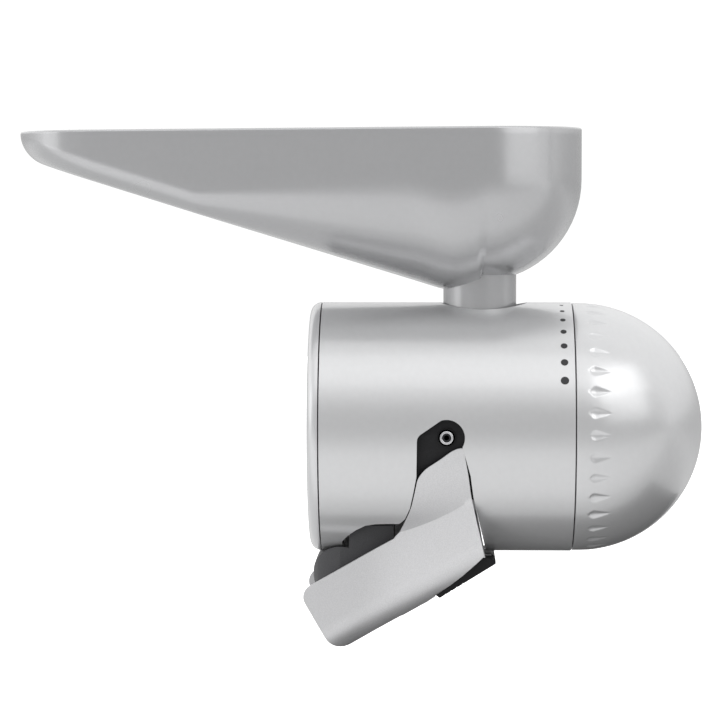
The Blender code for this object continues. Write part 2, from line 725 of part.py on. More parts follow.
def hopper_surface(inset, rings=7):
    """The bowl's surface, set in by inset, as an open sheet from the rim to the centre line."""
    bm = bmesh.new()
    columns = []
    for centre, radius, direction in hopper_stations(10, 10, 14):
        corner = corner_radius(centre, radius) - inset
        wall = radius - inset
        column = []
        for step in range(rings + 2):
            angle = math.pi / 2 * max(step - 1, 0) / rings
            out = wall - corner * (1 - math.cos(angle))
            x = centre + direction.x * out
            rise = corner * (1 - math.sin(angle))
            z = rim_height(x) + inset if step == 0 else floor_height(x) + inset + rise
            column.append(bm.verts.new((x, direction.y * out, z)))
        column.append(bm.verts.new((centre, 0, floor_height(centre) + inset)))
        columns.append(column)
    for near, far in zip(columns, columns[1:] + columns[:1]):
        for i in range(rings + 2):
            bm.faces.new((near[i], far[i], far[i + 1], near[i + 1]))
    bm.faces.new([column[0] for column in columns])
    bmesh.ops.remove_doubles(bm, verts=bm.verts, dist=0.00001)
    loose = [face for face in bm.faces if face.calc_area() < 1e-12]
    bmesh.ops.delete(bm, geom=loose, context="FACES_ONLY")
    return mesh_of(bm, "hopper_surface")


def make_hopper(axis):
    """The open bowl with the stem that plugs into the feed socket."""
    hopper = piece("hopper", hopper_surface(0), SILVER)
    stem_top = 64 * MM
    middle = (STEM_BOTTOM_Z + stem_top) / 2
    stem = rod("stem", (HOPPER_BACK_X, 0, middle), (0, 0, 1), STEM_R, stem_top - STEM_BOTTOM_Z, 32)
    combine(hopper, helper("stem", stem), "UNION")
    combine(hopper, helper("bowl_inside", hopper_surface(HOPPER_WALL)))
    bore = rod("stem_bore", (HOPPER_BACK_X, 0, 45 * MM), (0, 0, 1), STEM_BORE_R, 70 * MM, 32)
    combine(hopper, helper("stem_bore", bore))
    hang(axis, hopper)


# ---------------------------------------------------------------- chute


def chute_point(along, up):
    """A point in the XZ plane: along the chute's heel from the outlet, and square to it."""
    run = Vector((math.cos(SPOUT_ANGLE), math.sin(SPOUT_ANGLE)))
    rise = Vector((-run.y, run.x))
    return SPOUT_HEEL + run * along + rise * up


def chute_outline():
    """The chute seen from the side: outlet, straight top edge, arm with a slanted end, rear edge and heel."""
    foot = arc((0, 0), 8 * MM, 270, 180, 5)
    lip = arc((0, 0), 5 * MM, 180, 90, 4)
    points = [chute_point(8 * MM + a, 8 * MM + b) for a, b in foot]
    points += [chute_point(5 * MM + a, SPOUT_DEPTH - 5 * MM + b) for a, b in lip]
    arm = [(33.5, -42.3), (36.0, -40.0), (38.6, -34.3), (40.6, -29.6), (42.1, -23.0), (43.3, -17.0)]
    end = [(46.2, -13.4), (52.0, -9.6), (56.4, -6.3), (59.0, -5.2), (61.0, -4.9)]
    rear = [(63.0, -16.0), (64.1, -24.4), (67.6, -40.0), (69.5, -48.8), (70.3, -52.2)]
    heel = [(51.0, -65.5), (43.5, -70.1), (36.0, -75.2)]
    return [tuple(p) for p in points] + [(x * MM, z * MM) for x, z in arm + end + rear + heel]


def chute_half_width(x):
    """Half the distance between the upright sides, which ease into their spread."""
    past = x - SPOUT_SPREAD_X
    if past < -SPOUT_EASE:
        return SPOUT_HALF_WIDTH
    if past < SPOUT_EASE:
        return SPOUT_HALF_WIDTH + SPOUT_SPREAD * (past + SPOUT_EASE) ** 2 / (4 * SPOUT_EASE)
    return SPOUT_HALF_WIDTH + SPOUT_SPREAD * past


def chute_section(x, inset):
    """Half of the chute's outside at one x: barrel surface, upright side, rounded corner and flat heel."""
    half = chute_half_width(x) - inset
    barrel = BODY_R - 0.1 * MM - inset
    top = 4 * MM + inset
    crease = -math.sqrt(max(barrel**2 - half**2, 0))
    points = []
    for step in range(7):
        z = top + (crease - top) * step / 6
        points.append((math.sqrt(barrel**2 - z**2), z))
    heel = chute_point(0, 0).y + math.tan(SPOUT_ANGLE) * (x - SPOUT_HEEL.x) + inset
    corner = SPOUT_CORNER_R - inset
    points += [
        (half - corner + b, heel + corner - a)
        for a, b in arc((0, 0), corner, 90, 0, 4)
    ]
    return points


def chute_solid(inset, start, end):
    """The full width of the chute between two x places, before its side outline is cut."""
    count = 16
    sections = []
    for step in range(count + 1):
        x = start + (end - start) * step / count
        half = chute_section(x, inset)
        right = [(x, y, z) for y, z in half]
        left = [(x, -y, z) for y, z in reversed(half)]
        sections.append(right + left)
    return loft("chute_solid", sections)


def make_chute(axis, latch_axis):
    """The chute with its two arms, open at the rear of its heel for the latch."""
    chute = piece("spout", chute_solid(0, -10 * MM, 74 * MM), SATIN)
    combine(chute, helper("chute_inside", chute_solid(SPOUT_WALL, -12 * MM, 67.2 * MM)))
    trim = outline_mesh("chute_trim", chute_outline(), -60 * MM, 60 * MM)
    combine(chute, helper("chute_trim", trim), "INTERSECT")
    opening = LATCH_HALF_WIDTH + GAP
    side_cut = [(x * MM, z * MM) for x, z in CHUTE_SIDE_CUT]
    for side in (-1, 1):
        low, high = sorted((side * opening, side * 60 * MM))
        cut = outline_mesh(f"chute_side_cut_{side}", side_cut, low, high)
        combine(chute, helper(f"chute_side_cut_{side}", cut))
    pocket = [chute_point(46.1 * MM, -5 * MM), chute_point(46.1 * MM, 3 * MM)]
    pocket = [tuple(p) for p in pocket]
    pocket += [(x * MM, z * MM) for x, z in [(66.95, -50.5), (80, -50.5), (80, -80)]]
    pocket = outline_mesh("latch_pocket", pocket, -opening - 0.01 * MM, opening + 0.01 * MM)
    combine(chute, helper("latch_pocket", pocket))
    tongue = [(42, 1), (45.8, 1), (45.8, 1.9), (66, 1.9), (66, 3.9), (42, 3.9)]
    tongue = [tuple(chute_point(a * MM, b * MM)) for a, b in tongue]
    tongue = outline_mesh("tongue", tongue, -TONGUE_HALF_WIDTH, TONGUE_HALF_WIDTH)
    combine(chute, helper("tongue", tongue), "UNION")
    lug = [(65.0, -55.0), (69.6, -55.2), (71.4, -54.2), (72.6, -53.4), (72.6, -50.7), (69.4, -50.7)]
    lug += [(69.4, -49.8), (67.4, -49.8), (65.0, -52.0)]
    lug = [(x * MM, z * MM) for x, z in lug]
    for side in (-1, 1):
        low, high = sorted((side * LUG_INSIDE, side * LUG_OUTSIDE))
        combine(chute, helper(f"lug_{side}", outline_mesh(f"lug_{side}", lug, low, high)), "UNION")
    pin_centre = (LATCH_AXIS.x, 0, LATCH_AXIS.y)
    bore = rod("latch_bore", pin_centre, (0, 1, 0), LATCH_PIN_R + GAP, 2 * (LATCH_PIN_HALF + GAP), 12)
    bore = helper("latch_bore", bore)
    combine(chute, bore)
    hang(axis, chute)
    hang(latch_axis, make_latch(bore), piece("latch_pin", latch_pin_mesh(pin_centre), STEEL))


def latch_pin_mesh(centre):
    """The pin through the lugs and the lever."""
    return rod("latch_pin", centre, (0, 1, 0), LATCH_PIN_R, 2 * LATCH_PIN_HALF, 10)


def make_latch(bore):
    """The lever in the chute's heel: a plate with a knuckle, two cheeks and a notch round each lug."""
    bottom = [(50.3, -65.4), (51.9, -66.6), (74.1, -52.9), (74.1, -51.8), (72.4, -50.9)]
    knuckle = [(68.9, -50.9), (67.9, -52.2), (67.9, -54.9), (51.0, -64.7)]
    cheek = [(67.2, -50.9), (65.5, -52.4), (61.4, -56.9), (57.3, -60.0), (54.0, -62.2), (50.7, -64.4)]
    plate = [(x * MM, z * MM) for x, z in bottom + knuckle]
    cheek = [(x * MM, z * MM) for x, z in bottom + cheek]
    latch = outline_mesh("spout_latch", plate, -LATCH_HALF_WIDTH, LATCH_HALF_WIDTH)
    latch = piece("spout_latch", latch, BLACK)
    for side in (-1, 1):
        low, high = sorted((side * CHEEK_INSIDE, side * LATCH_HALF_WIDTH))
        flat = outline_mesh(f"latch_cheek_{side}", cheek, low, high)
        combine(latch, helper(f"latch_cheek_{side}", flat), "UNION")
    for side in (-1, 1):
        near, far = sorted((side * (LUG_INSIDE - GAP), side * (LUG_OUTSIDE + GAP)))
        notch = block(f"latch_notch_{side}", (66.9 * MM, near, -60 * MM), (76 * MM, far, -45 * MM))
        combine(latch, helper(f"latch_notch_{side}", notch))
    return combine(latch, bore)


def make_guard():
    """The dark hood over the chute's mouth: a rounded nose below the barrel, rising into its opening."""
    nose = arc((12.7 * MM, -58.0 * MM), 11.5 * MM, 74, 240, 12)
    body = [(22.0, -64.0), (33.5, -58.0), (33.5, -38.0)]
    outline = nose + [(x * MM, z * MM) for x, z in body]
    outline.append((GUARD_RISE_X, -38 * MM))
    solid = outline_mesh("chute_guard", outline, -GUARD_HALF_WIDTH, GUARD_HALF_WIDTH)
    guard = piece("chute_guard", solid, DARK)
    plan = [(0.6, 0), (1.5, 11), (3.6, 16), (7.4, 20), (13.0, 22.4), (40, 22.4)]
    plan = [(x * MM, y * MM) for x, y in plan]
    plan += [(x, -y) for x, y in reversed(plan[1:])]
    rounding = loft("guard_plan", [[(x, y, z * MM) for x, y in plan] for z in (-30, -80)])
    combine(guard, helper("guard_plan", rounding), "INTERSECT")
    barrel_end = GUARD_RISE_X - 0.2 * MM
    barrel_r = BODY_R + GAP
    barrel = [(-20 * MM, 0), (-20 * MM, barrel_r), (barrel_end, barrel_r), (barrel_end, 0)]
    combine(guard, turned_helper("guard_under_barrel", barrel, OUTER_SEGMENTS))
    chamber_r = CHAMBER_R + CHAMBER_WALL + GAP
    chamber = [(10 * MM, 0), (10 * MM, chamber_r), (80 * MM, chamber_r), (80 * MM, 0)]
    combine(guard, turned_helper("guard_under_chamber", chamber, 32))
    return guard


def main():
    make_housing()
    make_rear_cover()
    make_rear_screws()
    make_shank()
    make_drive_line(empty("drive_axis", (0, 0, 0)))
    make_chamber()
    make_stone_slide(empty("stone_axis", (50 * MM, 0, 0)))
    make_fixed_inner_parts()
    make_dome(empty("dome_axis", (DOME_CENTRE_X, 0, 0)))
    make_hopper(empty("hopper_axis", (HOPPER_BACK_X, 0, 0)))
    spout_axis = empty("spout_axis", (PIVOT.x, 0, PIVOT.y))
    make_chute(spout_axis, empty("latch_axis", (LATCH_AXIS.x, 0, LATCH_AXIS.y)))
    make_guard()


main()
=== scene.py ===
"""Looks of the grain mill attachment: fine shells, fittings, finishes and a studio."""

import json
import math

import bmesh
import bpy
from mathutils import Matrix, Vector


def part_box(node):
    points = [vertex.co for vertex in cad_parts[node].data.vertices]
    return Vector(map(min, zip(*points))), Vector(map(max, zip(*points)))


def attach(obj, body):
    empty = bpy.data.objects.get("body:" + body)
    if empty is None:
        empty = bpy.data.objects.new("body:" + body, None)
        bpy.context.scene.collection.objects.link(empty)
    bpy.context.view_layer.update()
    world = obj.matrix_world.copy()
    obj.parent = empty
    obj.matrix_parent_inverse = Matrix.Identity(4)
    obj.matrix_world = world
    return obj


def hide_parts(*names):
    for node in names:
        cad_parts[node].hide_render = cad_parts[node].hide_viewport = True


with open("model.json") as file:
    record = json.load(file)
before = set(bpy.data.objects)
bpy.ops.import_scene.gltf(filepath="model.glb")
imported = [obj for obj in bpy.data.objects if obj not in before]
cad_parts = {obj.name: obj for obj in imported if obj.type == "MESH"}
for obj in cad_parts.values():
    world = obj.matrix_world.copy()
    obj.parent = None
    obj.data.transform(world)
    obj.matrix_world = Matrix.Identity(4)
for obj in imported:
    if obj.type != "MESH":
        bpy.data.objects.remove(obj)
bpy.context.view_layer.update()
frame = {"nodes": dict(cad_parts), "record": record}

MM = 0.001
FULL_TURN = 2 * math.pi
FINE = 256

# Measures read from the frame
BARREL_LOW, BARREL_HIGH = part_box("housing")
COVER_LOW, COVER_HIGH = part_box("rear_cover")
DOME_LOW, DOME_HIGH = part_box("dome_knob")
HOPPER_LOW, HOPPER_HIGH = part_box("hopper")
SPOUT_LOW, SPOUT_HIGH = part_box("spout")
SHANK_LOW, SHANK_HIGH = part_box("mounting_shank")
GUARD_LOW, GUARD_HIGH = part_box("chute_guard")
LATCH_LOW, LATCH_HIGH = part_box("spout_latch")
PIN_LOW, PIN_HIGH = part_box("latch_pin")
SCREW_LOW, SCREW_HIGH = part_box("side_screw_near")
SOCKET_LOW, SOCKET_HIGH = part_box("feed_socket")
BODY_R = BARREL_HIGH.z
GAP = 0.3 * MM
WALL = 3 * MM
DOME_R = DOME_HIGH.z
DOME_CENTRE_X = DOME_HIGH.x - DOME_R
DOME_WALL = 2.6 * MM
PIVOT = (SCREW_LOW + SCREW_HIGH) / 2
PAD_R = 46.5 * MM
SEAM = 0.45 * MM


# ---------------------------------------------------------------- mesh tools


def link(name, bm, smooth_angle=35):
    """A new object from a bmesh, shaded smooth except at sharp edges."""
    mesh = bpy.data.meshes.new(name)
    bmesh.ops.recalc_face_normals(bm, faces=bm.faces)
    bm.to_mesh(mesh)
    bm.free()
    mesh.shade_smooth()
    mesh.set_sharp_from_angle(angle=math.radians(smooth_angle))
    obj = bpy.data.objects.new(name, mesh)
    bpy.context.scene.collection.objects.link(obj)
    return obj


def finished(piece, body, finish, slot, *nodes):
    """Gives a piece its material, and says what it rides on and replaces; the slot argument is not
    used.
    """
    piece.data.materials.clear()
    piece.data.materials.append(finish)
    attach(piece, body)
    if nodes:
        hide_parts(*nodes)
    return piece


def applied(obj):
    """Bakes an object's modifiers into its mesh."""
    bpy.context.view_layer.update()
    graph = bpy.context.evaluated_depsgraph_get()
    mesh = bpy.data.meshes.new_from_object(obj.evaluated_get(graph))
    obj.modifiers.clear()
    obj.data = mesh
    return obj


def boolean(target, other, operation="DIFFERENCE"):
    """Cuts or joins, applies the result and removes the tool."""
    modifier = target.modifiers.new("boolean", "BOOLEAN")
    modifier.operation = operation
    modifier.object = other
    applied(target)
    bpy.data.objects.remove(other)
    return target


def soften(obj, width, segments=2, angle=35):
    """Rounds the sharp edges, then evens the shading of the faces beside them."""
    weld = obj.modifiers.new("weld", "WELD")
    weld.merge_threshold = 0.00002
    bevel = obj.modifiers.new("bevel", "BEVEL")
    bevel.width = width
    bevel.segments = segments
    bevel.limit_method = "ANGLE"
    bevel.angle_limit = math.radians(angle)
    bevel.use_clamp_overlap = True
    applied(obj)
    obj.data.shade_smooth()
    obj.data.set_sharp_from_angle(angle=math.radians(50))
    weighted = obj.modifiers.new("normals", "WEIGHTED_NORMAL")
    weighted.keep_sharp = True
    return applied(obj)


def arc(centre, radius, start, end, count):
    """Points on an arc, angles in degrees, counter-clockwise from the first axis."""
    angles = [math.radians(start + (end - start) * i / count) for i in range(count + 1)]
    return [(centre[0] + radius * math.cos(a), centre[1] + radius * math.sin(a)) for a in angles]


def revolve(name, profile, segments=FINE):
    """Turns a closed run of (x, radius) points about the drive axis."""
    bm = bmesh.new()
    columns = []
    for i in range(segments):
        angle = FULL_TURN * i / segments
        columns.append(
            [bm.verts.new((x, r * math.cos(angle), r * math.sin(angle))) for x, r in profile]
        )
    count = len(profile)
    for near, far in zip(columns, columns[1:] + columns[:1]):
        for i in range(count):
            j = (i + 1) % count
            bm.faces.new((near[i], near[j], far[j], far[i]))
    bmesh.ops.remove_doubles(bm, verts=bm.verts, dist=0.000001)
    return link(name, bm)


def rod(name, centre, axis, radius, length, segments=64):
    """A closed cylinder about its centre, along an axis."""
    turn = Vector(axis).to_track_quat("Z", "Y").to_matrix().to_4x4()
    bm = bmesh.new()
    bmesh.ops.create_cone(
        bm,
        cap_ends=True,
        segments=segments,
        radius1=radius,
        radius2=radius,
        depth=length,
        matrix=Matrix.Translation(centre) @ turn,
    )
    return link(name, bm)


def block(name, low, high):
    """A box between two corners."""
    low, high = Vector(low), Vector(high)
    bm = bmesh.new()
    place = Matrix.Translation((low + high) / 2) @ Matrix.Diagonal((*(high - low), 1))
    bmesh.ops.create_cube(bm, size=1, matrix=place)
    return link(name, bm)


def outline_solid(name, outline, low, high):
    """A flat outline in the XZ plane, made solid from y = low to y = high."""
    bm = bmesh.new()
    near = [bm.verts.new((x, low, z)) for x, z in outline]
    far = [bm.verts.new((x, high, z)) for x, z in outline]
    bm.faces.new(near)
    bm.faces.new(far[::-1])
    count = len(outline)
    for i in range(count):
        j = (i + 1) % count
        bm.faces.new((near[j], near[i], far[i], far[j]))
    return link(name, bm)


def grid_faces(bm, rows):
    """Faces between each ring of points and the next."""
    count = len(rows[0])
    for near, far in zip(rows, rows[1:]):
        for i in range(count):
            j = (i + 1) % count
            bm.faces.new((near[i], near[j], far[j], far[i]))


def rounded(points, radius, count=6):
    """Rounds each corner of a closed run of points with a quadratic curve."""
    made = []
    total = len(points)
    for i, corner in enumerate(points):
        here = Vector(corner)
        before = Vector(points[i - 1]) - here
        after = Vector(points[(i + 1) % total]) - here
        reach = min(radius, before.length * 0.45, after.length * 0.45)
        start = here + before.normalized() * reach
        end = here + after.normalized() * reach
        for step in range(count + 1):
            t = step / count
            made.append(tuple(start * (1 - t) ** 2 + here * 2 * t * (1 - t) + end * t**2))
    return made


# ---------------------------------------------------------------- finishes


def shader_of(name, colour, roughness, metallic):
    """A new material and its main shader."""
    material = bpy.data.materials.new(name)
    material.use_nodes = True
    shader = material.node_tree.nodes["Principled BSDF"]
    shader.inputs["Base Color"].default_value = (*colour, 1)
    shader.inputs["Roughness"].default_value = roughness
    shader.inputs["Metallic"].default_value = metallic
    return material, shader


def noise(tree, scale, detail=3.0, stretch=(1, 1, 1)):
    """A noise texture in the object's own metres."""
    place = tree.nodes.new("ShaderNodeTexCoord")
    mapping = tree.nodes.new("ShaderNodeMapping")
    mapping.inputs["Scale"].default_value = stretch
    texture = tree.nodes.new("ShaderNodeTexNoise")
    texture.inputs["Scale"].default_value = scale
    texture.inputs["Detail"].default_value = detail
    tree.links.new(place.outputs["Object"], mapping.inputs["Vector"])
    tree.links.new(mapping.outputs["Vector"], texture.inputs["Vector"])
    return texture


def spread(tree, source, low, high):
    """Maps a 0 to 1 value to a range."""
    ramp = tree.nodes.new("ShaderNodeMapRange")
    ramp.inputs["From Min"].default_value = 0.25
    ramp.inputs["From Max"].default_value = 0.75
    ramp.inputs["To Min"].default_value = low
    ramp.inputs["To Max"].default_value = high
    tree.links.new(source, ramp.inputs["Value"])
    return ramp.outputs["Result"]


def tint(tree, source, dark, light):
    """Maps a 0 to 1 value to a run between two colours."""
    ramp = tree.nodes.new("ShaderNodeValToRGB")
    ramp.color_ramp.elements[0].position = 0.3
    ramp.color_ramp.elements[0].color = (*dark, 1)
    ramp.color_ramp.elements[1].position = 0.7
    ramp.color_ramp.elements[1].color = (*light, 1)
    tree.links.new(source, ramp.inputs["Fac"])
    return ramp.outputs["Color"]


def bump(tree, shader, source, strength, distance):
    """Gives the surface a fine relief from a 0 to 1 value."""
    node = tree.nodes.new("ShaderNodeBump")
    node.inputs["Strength"].default_value = strength
    node.inputs["Distance"].default_value = distance
    tree.links.new(source, node.inputs["Height"])
    tree.links.new(node.outputs["Normal"], shader.inputs["Normal"])


def scaled(colour, factor):
    return tuple(c * factor for c in colour)


def painted(name, colour, roughness, metallic, coat):
    """A smooth metallic paint under clear lacquer, with a faint cloudiness and orange peel."""
    material, shader = shader_of(name, colour, roughness, metallic)
    tree = material.node_tree
    cloud = noise(tree, 420, 2.0)
    light = tint(tree, cloud.outputs["Fac"], scaled(colour, 0.988), scaled(colour, 1.012))
    tree.links.new(light, shader.inputs["Base Color"])
    broad = noise(tree, 45, 2.0)
    rough = spread(tree, broad.outputs["Fac"], roughness * 0.94, roughness * 1.06)
    tree.links.new(rough, shader.inputs["Roughness"])
    peel = noise(tree, 260, 1.0)
    bump(tree, shader, peel.outputs["Fac"], 0.25, 0.000004)
    shader.inputs["Coat Weight"].default_value = coat
    shader.inputs["Coat Roughness"].default_value = 0.08
    return material


def grained(
    name, colour, roughness, metallic, grain, depth, variation, coat=0.0, stretch=(1, 1, 1)
):
    """A finish with a fine grain in its colour, roughness and surface."""
    material, shader = shader_of(name, colour, roughness, metallic)
    tree = material.node_tree
    fine = noise(tree, grain, 2.0, stretch)
    broad = noise(tree, grain / 40, 3.0)
    dark, pale = scaled(colour, 1 - variation), scaled(colour, 1 + variation)
    light = tint(tree, fine.outputs["Fac"], dark, pale)
    tree.links.new(light, shader.inputs["Base Color"])
    rough = spread(tree, broad.outputs["Fac"], roughness * 0.9, roughness * 1.12)
    tree.links.new(rough, shader.inputs["Roughness"])
    bump(tree, shader, fine.outputs["Fac"], 0.35, depth)
    shader.inputs["Coat Weight"].default_value = coat
    shader.inputs["Coat Roughness"].default_value = 0.06
    return material


DULL_SPECULAR = 0.25
PAINT = painted("silver_paint", (0.60, 0.603, 0.61), 0.30, 0.55, 0.5)
HOPPER_PAINT = painted("hopper_paint", (0.45, 0.453, 0.46), 0.26, 0.55, 0.5)
SATIN = grained("satin_silver", (0.62, 0.62, 0.63), 0.46, 0.62, 2600, 0.000007, 0.07, coat=0.1)
BLACK = grained("black_plastic", (0.010, 0.010, 0.011), 0.50, 0.0, 2400, 0.000012, 0.25)
DARK = grained("dark_plastic", (0.055, 0.055, 0.058), 0.50, 0.0, 2400, 0.000012, 0.12)
STEEL = grained(
    "turned_steel", (0.60, 0.60, 0.62), 0.28, 1.0, 900, 0.000008, 0.06, stretch=(6, 1, 1)
)
CHROME = grained("chrome", (0.82, 0.82, 0.84), 0.12, 1.0, 3000, 0.000002, 0.03)
# A near-black metal that paints the shade at the bottom of the screw sockets
SOCKET_SHADE_STEEL = grained("painted_socket_shade", (0.06, 0.06, 0.065), 0.22, 1.0, 3000, 0.000002, 0.1)
for dull in (BLACK, DARK):
    shader = dull.node_tree.nodes["Principled BSDF"]
    shader.inputs["Specular IOR Level"].default_value = DULL_SPECULAR
STONE = grained("millstone", (0.72, 0.70, 0.66), 0.92, 0.0, 1400, 0.00012, 0.22)
BRONZE = grained("bronze", (0.60, 0.42, 0.20), 0.35, 1.0, 900, 0.000006, 0.08)
RUBBER = grained("rubber", (0.022, 0.022, 0.022), 0.75, 0.0, 2000, 0.00002, 0.2)
FEED = grained("feed_plastic", (0.70, 0.70, 0.68), 0.5, 0.0, 1800, 0.000012, 0.05)
PRINT = grained("black_print", (0.012, 0.012, 0.014), 0.38, 0.0, 4000, 0.000002, 0.2)


# ---------------------------------------------------------------- barrel, rear cover and dome


def slot_outline(gap):
    """The opening for a chute arm from the side: an arch over the screw, wider downwards."""
    arch = arc((PIVOT.x, PIVOT.z), 7.1 * MM, -30, 108, 24)
    shoulder = arc((46.6 * MM, -2.6 * MM), 3.6 * MM, 118, 180, 10)
    left = [(42.8, -16.5), (41.6, -23.0), (40.2, -29.5), (38.2, -34.0)]
    ledge = [(36.0, -36.0), (31.0, -36.05), (26.4, -36.2), (22.5, -36.9), (19.0, -38.8)]
    ledge += [(15.6, -41.4), (13.2, -44.2), (13.2, -70.0), (71.2, -70.0), (70.9, -52.0)]
    right = [(69.9, -48.8), (68.0, -40.0), (64.5, -24.4), (63.4, -16.0)]
    low = [(x * MM, z * MM) for x, z in left + ledge]
    high = [(x * MM + gap, z * MM) for x, z in right]
    return arch + shoulder + low + high


def make_barrel():
    """The barrel, open at both ends, with its arm openings and the oval mouth for the stem."""
    inner = BODY_R - WALL
    x0, x1 = BARREL_LOW.x, BARREL_HIGH.x
    section = [(x0, inner), (x0, BODY_R), (x1, BODY_R), (x1, inner)]
    barrel = revolve("barrel_shell", section)
    boolean(barrel, outline_solid("opening", slot_outline(SEAM), -60 * MM, 60 * MM))
    mouth = rod("mouth", (0, 0, 0), (0, 0, 1), 1, 30 * MM, 96)
    place = Matrix.Translation((69.4 * MM, 0, 48 * MM))
    mouth.data.transform(place @ Matrix.Diagonal((17.6 * MM, 15.1 * MM, 1, 1)))
    boolean(barrel, mouth)
    soften(barrel, 0.35 * MM, 3)
    return finished(barrel, "barrel", PAINT, "silver_paint", "housing")


def make_rear_cover():
    """The cover at the hub end, with its cup and its screw seats."""
    fillet = 4.3 * MM
    end = COVER_LOW.x + 4.37 * MM
    r = BODY_R
    cup = 33 * MM
    rounding = arc((fillet, r - fillet), fillet, 180, 90, 12)
    section = [(0.8 * MM, cup), (0, cup + 0.8 * MM)] + rounding
    section += [(end - 0.25 * MM, r), (end, r - 0.25 * MM), (end, cup + 2.5 * MM)]
    section += [(24 * MM, cup + 2.5 * MM), (24 * MM, 15 * MM)]
    section += [(COVER_HIGH.x, 15 * MM), (COVER_HIGH.x, 11.3 * MM)]
    section += [(22.4 * MM, 11.3 * MM), (22.4 * MM, 8.6 * MM), (21 * MM, 8.6 * MM)]
    section += [(21 * MM, cup - 1.2 * MM), (19.8 * MM, cup)]
    cover = revolve("rear_cover_shell", section)
    for i in range(4):
        low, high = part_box(f"rear_screw_{i + 1}")
        centre = (low + high) / 2
        seat = rod("seat", (0, centre.y, centre.z), (1, 0, 0), 3.6 * MM, 4.4 * MM, 48)
        boolean(cover, seat)
        hole = rod("hole", (0, centre.y, centre.z), (1, 0, 0), 1.9 * MM, 20 * MM, 32)
        boolean(cover, hole)
    for i in range(3):
        low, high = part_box(f"shank_screw_{i + 1}")
        centre = (low + high) / 2
        boolean(cover, rod("hole", (20 * MM, centre.y, centre.z), (1, 0, 0), 1.7 * MM, 12 * MM, 32))
    soften(cover, 0.2 * MM, 2, 50)
    return finished(cover, "barrel", PAINT, "silver_paint", "rear_cover")


def make_shank():
    """The hub shank and its flange."""
    r, bore = 15.75 * MM, 12 * MM
    flange = SHANK_HIGH.z
    x0, x1 = SHANK_LOW.x, SHANK_HIGH.x
    section = [(x0, bore + 0.6 * MM), (x0, r - 1.4 * MM), (x0 + 0.4 * MM, r - 0.5 * MM)]
    section += [(x0 + 1.4 * MM, r), (17.2 * MM, r), (17.7 * MM, r + 0.5 * MM)]
    section.append((17.7 * MM, flange - 0.5 * MM))
    section += [(18.2 * MM, flange), (x1, flange), (x1, bore), (x0 + 0.6 * MM, bore)]
    shank = revolve("hub_shank_tube", section, 128)
    boolean(shank, rod("dimple", (9 * MM, 0, r), (0, 0, 1), 3.2 * MM, 3 * MM, 48))
    for i in range(3):
        low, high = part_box(f"shank_screw_{i + 1}")
        centre = (low + high) / 2
        boolean(shank, rod("hole", (20 * MM, centre.y, centre.z), (1, 0, 0), 1.7 * MM, 9 * MM, 32))
    soften(shank, 0.15 * MM, 2, 50)
    return finished(shank, "barrel", STEEL, "steel", "mounting_shank")


DIMPLES = 36
DIMPLE_START_X = 110.1 * MM
DIMPLE_END_X = 118.6 * MM
DIMPLE_HALF_WIDTH = 2.3 * MM
DIMPLE_DEPTH = 0.56 * MM
DIMPLE_ROUND = 0.26


def dimple_depth(x, angle, radius):
    """Depth of the teardrop dimples: a round end by the seam, a point towards the crown."""
    t = (x - DIMPLE_START_X) / (DIMPLE_END_X - DIMPLE_START_X)
    if not 0 < t < 1:
        return 0.0
    pitch = FULL_TURN / DIMPLES
    off = (angle + pitch / 2) % pitch - pitch / 2
    if t < DIMPLE_ROUND:
        share = math.sqrt(1 - (1 - t / DIMPLE_ROUND) ** 2)
    else:
        share = ((1 - t) / (1 - DIMPLE_ROUND)) ** 0.85
    half = DIMPLE_HALF_WIDTH * share
    side = abs(off * radius) / half if half > 0 else 2
    if side >= 1:
        return 0.0
    return DIMPLE_DEPTH * share * (1 - side * side) ** 1.5


def make_dome():
    """The half sphere with its ring of dimples, the seam's edge and the hollow inside."""
    start = DOME_LOW.x
    edge = 0.3 * MM
    profile = [(start, DOME_R - edge), (start + edge * 0.3, DOME_R - edge * 0.3)]
    profile.append((start + edge, DOME_R))
    rows_in_band = 44
    length = DIMPLE_END_X - DIMPLE_START_X
    band = [DIMPLE_START_X + length * i / rows_in_band for i in range(rows_in_band + 1)]
    xs = [start + 1.4 * MM, DOME_CENTRE_X, DOME_CENTRE_X + 1.5 * MM] + band
    last = math.asin((DIMPLE_END_X - DOME_CENTRE_X) / DOME_R)
    for i in range(1, 40):
        xs.append(DOME_CENTRE_X + DOME_R * math.sin(last + (math.pi / 2 - last) * i / 40))
    for x in xs:
        up = max(x - DOME_CENTRE_X, 0)
        profile.append((x, math.sqrt(DOME_R**2 - up**2)))
    segments = DIMPLES * 24
    bm = bmesh.new()
    rows = []
    for x, r in profile:
        row = []
        for i in range(segments):
            angle = FULL_TURN * i / segments
            depth = dimple_depth(x, angle, r)
            normal_x = max(x - DOME_CENTRE_X, 0) / DOME_R
            normal_r = math.sqrt(1 - normal_x**2)
            rr = r - depth * normal_r
            point = (x - depth * normal_x, rr * math.cos(angle), rr * math.sin(angle))
            row.append(bm.verts.new(point))
        rows.append(row)
    grid_faces(bm, rows)
    tip = bm.verts.new((DOME_CENTRE_X + DOME_R, 0, 0))
    for i in range(segments):
        bm.faces.new((rows[-1][i], rows[-1][(i + 1) % segments], tip))
    inner = [(start, DOME_R - DOME_WALL), (DOME_CENTRE_X, DOME_R - DOME_WALL)]
    inner += arc((DOME_CENTRE_X, 0), DOME_R - DOME_WALL, 80, 4, 12)
    back = []
    for x, r in inner:
        row = []
        for i in range(segments):
            angle = FULL_TURN * i / segments
            row.append(bm.verts.new((x, r * math.cos(angle), r * math.sin(angle))))
        back.append(row)
    grid_faces(bm, back)
    grid_faces(bm, [rows[0], back[0]])
    bm.faces.new(back[-1])
    dome = link("dome_shell", bm, 60)
    return finished(dome, "dome", PAINT, "silver_paint", "dome_knob")


